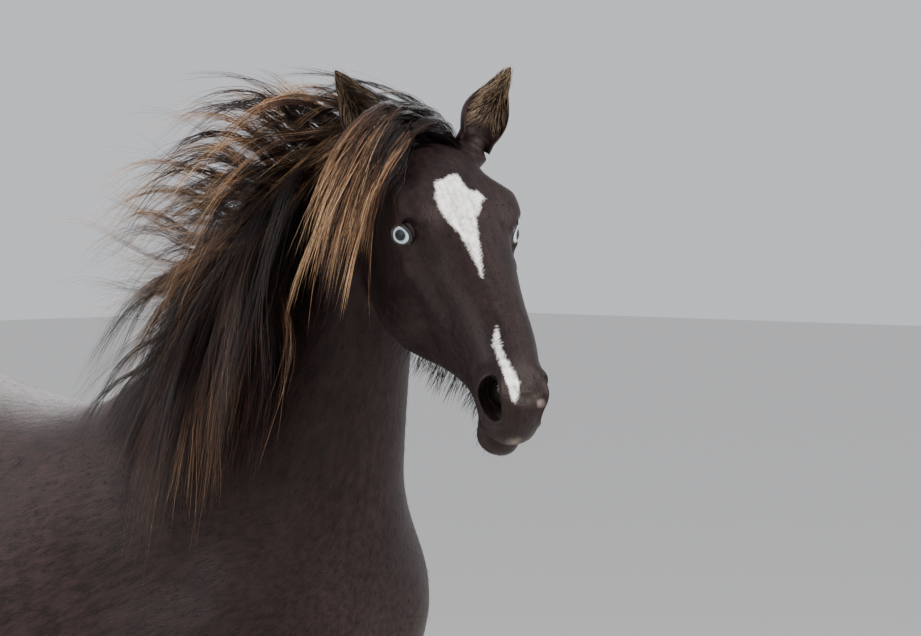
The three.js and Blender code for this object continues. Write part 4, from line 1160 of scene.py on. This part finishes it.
def inside_box(paths, margin=6.0):
    """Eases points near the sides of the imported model's box back into it."""
    low, high = np.array(CAD_BOX) / MM - SHIFT
    middle, half = (low + high) / 2, (high - low) / 2 + margin
    d = (paths - middle) / half
    over = np.clip(np.abs(d) - 0.9, 0, None)
    return middle + np.sign(d) * (np.minimum(np.abs(d), 0.9) + 0.1 * np.tanh(over / 0.1)) * half


def build_hair(name, guides, gold, count, spread, tight, frizz, rng, thickness=1.0):
    """Long hair along guide paths, count strands to each, in the colours that gold gives."""
    paths, lead = strands_of(guides, count, spread, tight, frizz, rng)
    paths = trim_lengths(paths, rng.uniform(0.6, 1.0, len(lead)))
    paths[:, 1:] = inside_box(keep_off(paths[:, 1:], hair_field, 2.0))
    tone = np.clip(gold[lead] + rng.normal(0, 0.12, len(lead)), 0, 1)
    tints = hair_tints(paths.shape[1], tone, rng, rng.uniform(0.7, 1.3, len(guides))[lead])
    width = settings("horse_hair").strand_width / MM * thickness
    half = width / 2 * rng.uniform(0.6, 1.3, len(lead))
    return strand_pieces(name, paths, tints, half, half * 0.45, finish_of("Long hair"), "hair")


# Operators
class HorseOperator:
    bl_options = {"REGISTER", "UNDO"}


class HORSE_OT_skin(HorseOperator, bpy.types.Operator):
    """Build the skin of the whole body, with its markings"""

    bl_idname = "horse.skin"
    bl_label = "Skin"

    def execute(self, context):
        body = settings("horse_body")
        depth = body.coat_depth / MM

        def field(p):
            return skin_field(p) + depth * np.clip((p[:, 2] - 120) / 60, 0, 1)

        verts, faces = surface_net(field, (-930, -345, 10), (1330, 345, 1840), body.net_cell / MM)
        mesh = bpy.data.meshes.new("net")
        mesh.from_pydata([tuple(v) for v in verts], [], [tuple(f) for f in faces])
        bm = bmesh.new()
        bm.from_mesh(mesh)
        settle(bm, field, 3)
        bm.faces.index_update()
        split(bm, np.ones(len(bm.faces), bool))
        settle(bm, field, 2)
        for _ in range(2):
            l, u, s = HEAD.local(face_centres(bm))
            split(bm, (l > -60) & (l < 620) & (np.abs(s) < 160) & (u > -262) & (u < 160))
            settle(bm, field, 2, 0.4)
        centres = face_centres(bm)
        fine = np.zeros(len(centres), bool)
        for side in (1, -1):
            fine |= np.linalg.norm(centres - eye_frame(side).origin, axis=1) < 42
            fine |= np.linalg.norm(centres - nostril_frame(side).origin, axis=1) < 40
        split(bm, fine)
        co = push_openings(settle(bm, field, 1, 0.3))
        for v, p in zip(bm.verts, co):
            v.co = p
        bmesh.ops.recalc_face_normals(bm, faces=bm.faces)
        bm.to_mesh(mesh)
        bm.free()
        faces = [tuple(p.vertices) for p in mesh.polygons]
        bpy.data.meshes.remove(mesh)
        skin = new_object("skin", co, faces, finish_of("Horse skin"), "coat")
        # The Tint colours carry the painted sheen on the back and the painted shade at the mouth and
        # nostrils.
        paint(skin.data, "Tint", coat_tint(co))
        w = region_weights(co)
        paint(skin.data, "Regions", w[:, :3])
        paint(skin.data, "Legs", np.repeat(w[:, 3:], 3, axis=1))
        flesh = ["torso", "neck", "head"]
        for part in ("upper", "lower"):
            flesh += [f"leg_{part}_{end}_{side}" for end in ("fore", "hind") for side in ("left", "right")]
        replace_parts(skin, *flesh)
        return {"FINISHED"}


class HORSE_OT_eyes(HorseOperator, bpy.types.Operator):
    """Build the eyeballs and their lids"""

    bl_idname = "horse.eyes"
    bl_label = "Eyes and lids"

    def execute(self, context):
        for name, side in (("left", 1), ("right", -1)):
            self.ball(name, gaze_frame(side))
            self.lids(name, side, eye_frame(side))
        return {"FINISHED"}

    def ball(self, name, own):
        rings, sides = 56, 72
        verts = []
        for i in range(1, rings):
            angle = math.pi * i / rings
            radius = EYE_RADIUS - 0.3 + 1.1 * math.exp(-((angle / 0.62) ** 4))
            high, flat = radius * math.cos(angle), radius * math.sin(angle)
            for j in range(sides):
                turn = 2 * math.pi * j / sides
                verts.append(own.world(flat * math.cos(turn), high, flat * math.sin(turn)))
        front = len(verts)
        verts += [own.world(0, EYE_RADIUS + 0.8, 0), own.world(0, -EYE_RADIUS + 0.3, 0)]
        faces = tube_faces(rings - 1, sides, inward=True)
        for j in range(sides):
            m = (j + 1) % sides
            faces += [(front, j, m), (front + 1, (rings - 2) * sides + m, (rings - 2) * sides + j)]
        ball = new_object(f"eyeball_{name}", verts, faces, finish_of("Eye"), "eye")
        paint(ball.data, "Tint", self.ball_tint(*own.local(np.array(verts))))
        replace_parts(ball, f"eye_{name}")

    def ball_tint(self, t, u, s):
        """Pupil, iris with its pale ring and dark edge, and the white round them."""
        look = settings("horse_eye")
        iris, rim, white = (np.array(c) for c in (look.iris, look.rim, look.white))
        r, turn = np.hypot(t, s), np.arctan2(s, t)
        wave = np.sin(turn * 31) * 0.5 + np.sin(turn * 17 + 1) * 0.5
        shade = iris + (rim - iris) * np.clip((r - 8.0) / 2.4, 0, 1)[:, None]
        shade = shade * (0.88 + 0.12 * wave[:, None])
        pupil = (1.1 - np.hypot(t / 8.4, s / 7.6)) / 0.16
        dark_edge, black = np.array([0.03, 0.027, 0.03]), np.array([0.012, 0.014, 0.018])
        for tint, share in ((dark_edge, (r - 11.9) / 0.9), (white, (r - 13.6) / 0.8), (black, pupil)):
            shade = shade + (tint - shade) * np.clip(share, 0, 1)[:, None]
        return np.clip(np.where((u > 0)[:, None], shade, white), 0, 1)

    def lids(self, name, side, own):
        around, ring = 72, 8
        verts = []
        for i in range(around):
            turn = 2 * math.pi * i / around
            x = (LID_HALF + 0.5) * math.cos(turn)
            upper = math.sin(turn) > 0
            y = (0.6 + float(lid_reach(x * 0.97, 1 if upper else -1))) * (1 if upper else -1)
            depth = math.sqrt((EYE_RADIUS - 0.6) ** 2 - x * x - y * y)
            thick = 4.0 if upper else 3.2
            for j in range(ring):
                a = 2 * math.pi * j / ring
                spread = 1 + thick * math.cos(a) / max(math.hypot(x, y), 6)
                verts.append(own.world(x * spread, depth + thick * 0.8 * math.sin(a), -y * side * spread))
        faces = [tuple(v % len(verts) for v in face) for face in tube_faces(around + 1, ring, inward=True)]
        lid = new_object(f"lids_{name}", verts, faces, finish_of("Lid skin"), "coat")
        turn_outward(lid.data)


class HORSE_OT_ears(HorseOperator, bpy.types.Operator):
    """Build the cupped ears"""

    bl_idname = "horse.ears"
    bl_label = "Ears"

    def execute(self, context):
        for name, side in (("left", 1), ("right", -1)):
            own = ear_frame(side)
            rows, steps = 34, 20
            verts = []
            for i in range(rows):
                x = i / (rows - 1)
                for wall in (0, 1):
                    order = range(steps + 1) if wall == 0 else range(steps, -1, -1)
                    for j in order:
                        verts.append(ear_point(own, side, x, j / steps * 2 - 1, wall))
            per = 2 * (steps + 1)
            faces = tube_faces(rows, per)
            faces += [tuple(range(per - 1, -1, -1)), tuple(range((rows - 1) * per, rows * per))]
            ear = new_object(f"ear_cup_{name}", verts, faces, finish_of("Horse skin"), "coat")
            turn_outward(ear.data)
            dark = np.array(settings("horse_body").coat)
            paint(ear.data, "Tint", np.tile(dark * 1.1, (len(verts), 1)))
            paint(ear.data, "Regions", np.tile([1.0, 0, 0], (len(verts), 1)))
            paint(ear.data, "Legs", np.zeros((len(verts), 3)))
            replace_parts(ear, f"ear_{name}")
        return {"FINISHED"}


def ear_frame(side):
    root, tip = HEAD.world(*ear_at(side, 0)), HEAD.world(*ear_at(side, 1))
    across = -0.1 if side > 0 else -0.55
    return Frame(root, tip - root, 0.65 * HEAD.a + 0.55 * HEAD.u + across * HEAD.s)


def ear_point(own, side, x, across, wall):
    """A point of the ear: x from root to tip, across from edge to edge, wall 0 outside and 1 inside."""
    y = max(0.0, (x - 0.12) / 0.88)
    half = (26 + 9 * math.sin(math.pi * min(1, y * 1.5))) * (1 - y**2.6) + 1.2
    spread = (122 - 44 * y) * DEG
    thick = (4.4 - 2.2 * y) * (1 - 0.55 * abs(across) ** 3)
    lean = 16 * math.sin(math.pi * y * 0.9)
    angle = spread * across
    r = half - wall * min(thick, half * 0.6)
    return own.world(8 + (EAR_LENGTH - 5) * x, -math.cos(angle) * r * 0.8 - lean, math.sin(angle) * r)


# A hoof from the ground up: height, shift forward, half length and half width
HOOF_STATIONS = np.array([
    (0, 34, 66, 60), (6, 33, 66, 60), (24, 27, 62.5, 57), (50, 18, 57, 53), (74, 9.5, 52, 49),
    (87, 4, 50, 47), (95, 0.5, 46, 44),
])
HOOF_HEIGHT = 95.4


class HORSE_OT_hooves(HorseOperator, bpy.types.Operator):
    """Build the hooves, with growth rings"""

    bl_idname = "horse.hooves"
    bl_label = "Hooves"

    def execute(self, context):
        for end in ("fore", "hind"):
            for name, side in (("left", 1), ("right", -1)):
                self.hoof(end, name, leg_stations(end, side)[0])
        return {"FINISHED"}

    def hoof(self, end, name, row):
        sides, levels = 64, 30
        cx, cy = (row[1] + row[2]) / 2, -row[5]
        verts = []
        for i in range(levels + 1):
            z = HOOF_HEIGHT * i / levels
            shift, length, width = (np.interp(z, HOOF_STATIONS[:, 0], HOOF_STATIONS[:, c]) for c in (1, 2, 3))
            grow = 0.35 * math.sin(z * 0.9) - (2.5 if i == levels else 0)
            for j in range(sides):
                turn = 2 * math.pi * j / sides
                long = (length + grow) * (0.93 + 0.07 * math.tanh(math.cos(turn) * 6))
                verts.append((cx + shift + long * math.cos(turn), cy + (width + grow) * math.sin(turn), z))
        faces = tube_faces(levels + 1, sides)
        faces += [tuple(range(sides - 1, -1, -1)), tuple(range(levels * sides, (levels + 1) * sides))]
        hoof = new_object(f"hoof_wall_{end}_{name}", verts, faces, finish_of("Hoof horn"), "horn")
        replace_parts(hoof, f"hoof_{end}_{name}")


class HORSE_OT_mane(HorseOperator, bpy.types.Operator):
    """Build the windblown mane"""

    bl_idname = "horse.mane"
    bl_label = "Mane"

    def execute(self, context):
        rng = np.random.default_rng(7)
        for family in MANE_FAMILIES:
            path, gold = mane_locks(family, rng)
            build_hair(f"mane_{family.name}", path, gold, family.strands, family.radius, 0.25, 15, rng)
        return {"FINISHED"}


class HORSE_OT_forelock(HorseOperator, bpy.types.Operator):
    """Build the forelock, swept over the right ear's root"""

    bl_idname = "horse.forelock"
    bl_label = "Forelock"

    def execute(self, context):
        rng = np.random.default_rng(17)
        # Name, locks, strands in each, ranges of place along and across the head, blow, rise, then ranges of
        # drop, length and clearance, the share of pale locks and waviness
        families = [
            ("forelock", 58, 26, (18, 62), (-34, 50), 0.8, -0.1, (5.0, 8.5), (240, 370), (4, 30), 0.75, 0.45),
            ("poll_tuft", 30, 25, (-30, 16), (-32, 42), 1.0, 0.2, (0.9, 2.2), (220, 320), (4, 26), 0.4, 0.6),
        ]
        for label, n, count, along, across, blow, rise, drops, lengths, clears, share, sway in families:
            l, s = rng.uniform(*along, n), rng.uniform(*across, n)
            root = on_skin(HEAD.world(l, 0 * l - 70, s), HEAD.u, 170, inset=3)
            leave = np.tile(unit(0.7 * HEAD.u + 0.9 * WIND), (n, 1))
            heading = unit(blow * WIND + np.array([0, 0, rise]) + rng.normal(0, 0.12, (n, 3)))
            path = march(
                root, leave, heading, rng.uniform(*drops, n), rng.uniform(*lengths, n), 10,
                rng.uniform(*clears, n), np.abs(rng.normal(sway, 0.15, n)), rng,
            )
            build_hair(label, path, lock_gold(n, share, (0.55, 1.0), rng), count, 9, 0.3, 12, rng)
        return {"FINISHED"}


class HORSE_OT_tail(HorseOperator, bpy.types.Operator):
    """Build the tail"""

    bl_idname = "horse.tail"
    bl_label = "Tail"

    def execute(self, context):
        rng = np.random.default_rng(29)
        n = 64
        x, turn = rng.uniform(0, 1, n), rng.uniform(0, 2 * np.pi, n)
        way = np.cos(turn)[:, None] * DOCK.u + np.sin(turn)[:, None] * DOCK.s
        inside = DOCK.world(40 + 195 * x, 0 * x, 0 * x)
        root = on_skin(inside, way, 90, dock_form(), 3)
        leave = unit(0.3 * way + DOCK.a)
        heading = unit(np.array([-0.30, -0.14, -1]) + 0.22 * way + rng.normal(0, 0.07, (n, 3)))
        drop, length = rng.uniform(0.4, 0.9, n), rng.uniform(700, 880, n)
        path = march(root, leave, heading, drop, length, 11, 14, np.full(n, 0.16), rng, 0.3)
        path[..., 2] = np.maximum(path[..., 2], 60)
        build_hair("tail_hair", path, lock_gold(n, 0.3, (0.3, 0.6), rng), 44, 18, 0.5, 26, rng, 1.3)
        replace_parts(bpy.data.objects.get("tail_hair") or bpy.data.objects["tail_hair_1"], "tail")
        return {"FINISHED"}


class HORSE_OT_short_hair(HorseOperator, bpy.types.Operator):
    """Build the beard, feathers, ear linings and the short coat"""

    bl_idname = "horse.short_hair"
    bl_label = "Beard, feathers and coat"

    def execute(self, context):
        self.beard()
        self.feathers()
        self.ear_linings()
        self.coat()
        return {"FINISHED"}

    def beard(self):
        rng = np.random.default_rng(41)
        n = 620
        x = rng.uniform(0, 1, n) ** 0.8
        leave = np.tile(-HEAD.u, (n, 1)) + rng.normal(0, 0.12, (n, 3))
        inside = HEAD.world(150 + 350 * x, 0 * x - 110, rng.normal(0, 16, n))
        root = on_skin(inside, unit(leave), 220, inset=2)
        bunch = np.stack([ripple(root, 9, 21 + c) for c in range(3)], -1)
        heading = unit(np.array([-0.4, -0.35, -0.9]) + 0.5 * bunch + rng.normal(0, 0.14, (n, 3)))
        length = rng.uniform(8, 52, n) * (0.35 + 0.65 * np.sin(np.pi * np.clip(x * 1.1, 0, 1)))
        path = march(root, unit(leave), heading, np.full(n, 0.5), length, 6, 1.0, np.full(n, 0.2), rng)
        tints = hair_tints(7, rng.uniform(0, 0.35, n), rng)
        strand_pieces("beard", path, tints, np.full(n, 0.4), np.full(n, 0.2), finish_of("Long hair"), "coat")

    def feathers(self):
        rng = np.random.default_rng(43)
        roots, leaves, lengths = [], [], []
        for end in ("fore", "hind"):
            for side in (1, -1):
                n = 420
                rows = np.array(leg_stations(end, side))
                z = rng.uniform(150, 262, n)
                cx = (np.interp(z, rows[:, 0], rows[:, 1]) + np.interp(z, rows[:, 0], rows[:, 2])) / 2
                cy = -np.interp(z, rows[:, 0], rows[:, 5])
                turn = rng.normal(0, 0.75, n)
                way = np.stack([-np.cos(turn), np.sin(turn), 0 * turn], -1)
                roots.append(on_skin(np.stack([cx, cy, z], -1), way, 90, inset=2))
                leaves.append(unit(way + np.array([0, 0, -0.8])))
                lengths.append(rng.uniform(30, 74, n) * np.clip((z - 100) / 110, 0.35, 1))
        root, leave, length = np.concatenate(roots), np.concatenate(leaves), np.concatenate(lengths)
        heading = unit(np.array([-0.15, -0.08, -1]) + 0.25 * leave)
        n = len(root)
        path = march(root, leave, heading, np.full(n, 0.5), length, 6, 0.8, np.full(n, 0.12), rng)
        path[..., 2] = np.maximum(path[..., 2], 8)
        tints = hair_tints(7, rng.uniform(0, 0.3, n), rng)
        half, deep = np.full(n, 0.8), np.full(n, 0.4)
        strand_pieces("feathers", path, tints, half, deep, finish_of("Long hair"), "coat")

    def ear_linings(self):
        rng = np.random.default_rng(47)
        paths, tones = [], []
        for side in (1, -1):
            own = ear_frame(side)
            for _ in range(520):
                x, across = rng.uniform(0.16, 0.86), rng.uniform(-1, 1)
                base = ear_point(own, side, x, across, 1)
                edge = 1 if abs(across) > 0.82 else 0
                into = own.world(8 + (EAR_LENGTH - 5) * min(1, x + 0.16), 4, 0) - base
                way = unit(into + rng.normal(0, 5, 3) + edge * 14 * own.a)
                length = rng.uniform(10, 24) * (0.75 if edge else 1)
                steps = np.linspace(0, 1, 5)[:, None]
                paths.append(base + steps * length * way + steps**2 * length * 0.5 * own.a)
                tones.append(rng.uniform(0.5, 1.0) if not edge else rng.uniform(0.1, 0.7))
        path, n = np.array(paths), len(paths)
        pale = np.array((0.42, 0.30, 0.19)) - 0.02
        shade = np.array(settings("horse_body").coat) + pale * np.array(tones)[:, None] * 0.85
        tints = np.repeat(shade[:, None], 5, axis=1) * np.linspace(0.45, 1.1, 5)[None, :, None]
        across = np.cross(path[:, -1] - path[:, 0], HEAD.s)
        half, deep = np.full(n, 0.55), np.full(n, 0.3)
        strand_pieces("ear_lining", path, tints, half, deep, finish_of("Long hair"), "coat", across)

    def coat(self):
        rng = np.random.default_rng(53)
        skin = bpy.data.objects["skin"].data
        co = np.empty(len(skin.vertices) * 3, np.float32)
        skin.vertices.foreach_get("co", co)
        co = co.reshape(-1, 3) / MM - SHIFT
        skin.calc_loop_triangles()
        tri = np.empty(len(skin.loop_triangles) * 3, np.int32)
        skin.loop_triangles.foreach_get("vertices", tri)
        tri = tri.reshape(-1, 3)
        a, b, c = co[tri[:, 0]], co[tri[:, 1]], co[tri[:, 2]]
        area = np.linalg.norm(np.cross(b - a, c - a), axis=1) / 2
        patches = (("coat_body", 22000, (9, 17), False), ("coat_head", 9000, (4, 8), True))
        for label, count, size, in_head in patches:
            centre = (a + b + c) / 3
            head = head_field(centre) < 6
            weight = area * (head if in_head else ~head) * (centre[:, 2] > 112)
            pick = rng.choice(len(tri), count, p=weight / weight.sum())
            r1, r2 = np.sqrt(rng.uniform(0, 1, (count, 1))), rng.uniform(0, 1, (count, 1))
            root = (1 - r1) * a[pick] + r1 * (1 - r2) * b[pick] + r1 * r2 * c[pick]
            if in_head:
                keep = np.ones(count, bool)
                for side in (1, -1):
                    keep &= np.linalg.norm(root - eye_frame(side).world(0, 14, 0), axis=1) > 27
                    keep &= np.linalg.norm(root - nostril_frame(side).origin, axis=1) > 30
                root = root[keep]
            normal = outward(root)
            lie = coat_lie(root, normal)
            lie = unit(lie + rng.normal(0, 0.09, lie.shape))
            length = rng.uniform(*size, len(root))
            legs = np.clip((root[:, 2] - 100) / 600, 0.35, 1)
            length = length * legs
            x = np.linspace(0, 1, 4)[None, :, None]
            rise = (0.10 if in_head else 0.13) * length[:, None, None] * np.sin(x * 1.9)
            path = root[:, None] - 0.6 * normal[:, None] + lie[:, None] * length[:, None, None] * x
            path = path + normal[:, None] * rise
            # The tufts take coat_tint's colours, with its painted sheen on the back and its painted shade.
            tints = np.clip(coat_tint(root) * rng.uniform(1.0, 1.8, (len(root), 1)), 0, 1)
            tints = np.repeat(tints[:, None], 4, axis=1) * np.linspace(0.9, 1.12, 4)[None, :, None]
            half = np.full(len(root), 0.3 if in_head else 0.38) * rng.uniform(0.7, 1.3, len(root))
            across = np.cross(lie, normal)
            strand_pieces(label, path, tints, half, half * 0.4, finish_of("Short hair"), "coat", across)


LIT_PLACE = (0.45, -0.05, 1.2)  # in metres, where the lights point
CAMERA_PLACE = (4820, -4010, 1640)
CAMERA_DIP, CAMERA_TURN = 2.08, 134.59 - 90  # in degrees


class HORSE_OT_stage(HorseOperator, bpy.types.Operator):
    """Build the floor, the lights and the camera"""

    bl_idname = "horse.stage"
    bl_label = "Studio"

    def execute(self, context):
        stage = settings("horse_stage")
        scene = context.scene
        half = stage.floor_size / 2
        mesh = bpy.data.meshes.new("floor")
        corners = [(-half, -half, 0), (half, -half, 0), (half, half, 0), (-half, half, 0)]
        mesh.from_pydata(corners, [], [(0, 1, 2, 3)])
        mesh.materials.append(finish_of("Floor"))
        floor = bpy.data.objects.new("floor", mesh)
        scene.collection.objects.link(floor)
        world = bpy.data.worlds.new("Studio")
        world.use_nodes = True
        sky = world.node_tree.nodes["Background"].inputs
        sky["Color"].default_value, sky["Strength"].default_value = (0.93, 0.95, 1.0, 1), 0.75
        scene.world = world
        lights = [
            ("key", (4.6, 0.6, 4.2), 330, 3.0), ("fill", (1.5, -5.0, 2.6), 95, 3.5),
            ("rim", (-3.0, 3.5, 4.0), 150, 2.5), ("back", (-3.5, -3.0, 3.6), 95, 2.5),
        ]
        for name, place, power, size in lights:
            data = bpy.data.lights.new(name, "AREA")
            data.energy, data.size = power, size
            lamp = bpy.data.objects.new(name, data)
            lamp.location = place
            lamp.rotation_euler = (Vector(LIT_PLACE) - Vector(place)).to_track_quat("-Z", "Y").to_euler()
            scene.collection.objects.link(lamp)
        camera = bpy.data.cameras.new("camera")
        camera.lens, camera.sensor_width, camera.sensor_fit = stage.lens, 36, "HORIZONTAL"
        camera.clip_end = 200
        holder = bpy.data.objects.new("camera", camera)
        holder.location = (np.array(CAMERA_PLACE) + SHIFT) * MM
        holder.rotation_euler = ((90 - CAMERA_DIP) * DEG, 0, CAMERA_TURN * DEG)
        scene.collection.objects.link(holder)
        scene.camera = holder
        return {"FINISHED"}


class HORSE_PT_panel(bpy.types.Panel):
    """Lists the steps that build the horse"""

    bl_idname = "HORSE_PT_panel"
    bl_label = "Icelandic Horse"
    bl_space_type = "VIEW_3D"
    bl_region_type = "UI"
    bl_category = "Horse"

    def draw(self, context):
        for name in ("horse_body", "horse_hair", "horse_eye", "horse_stage"):
            box = self.layout.box()
            group = getattr(context.scene, name)
            for key in group.__annotations__:
                box.prop(group, key)
        for step in STEPS:
            self.layout.operator(step.bl_idname)


STEPS = (
    HORSE_OT_skin, HORSE_OT_eyes, HORSE_OT_ears, HORSE_OT_hooves, HORSE_OT_mane, HORSE_OT_forelock,
    HORSE_OT_tail, HORSE_OT_short_hair, HORSE_OT_stage,
)
GROUPS = {
    "horse_body": HorseBodySettings, "horse_hair": HorseHairSettings, "horse_eye": HorseEyeSettings,
    "horse_stage": HorseStageSettings,
}


def register():
    for name, group in GROUPS.items():
        bpy.utils.register_class(group)
        setattr(bpy.types.Scene, name, bpy.props.PointerProperty(type=group))
    for cls in (*STEPS, HORSE_PT_panel):
        bpy.utils.register_class(cls)


def unregister():
    for cls in (HORSE_PT_panel, *reversed(STEPS)):
        bpy.utils.unregister_class(cls)
    for name, group in GROUPS.items():
        delattr(bpy.types.Scene, name)
        bpy.utils.unregister_class(group)


def main():
    register()
    bpy.ops.horse.skin()
    bpy.ops.horse.eyes()
    bpy.ops.horse.ears()
    bpy.ops.horse.hooves()
    bpy.ops.horse.mane()
    bpy.ops.horse.forelock()
    bpy.ops.horse.tail()
    bpy.ops.horse.short_hair()
    bpy.ops.horse.stage()


if __name__ == "__main__":
    main()
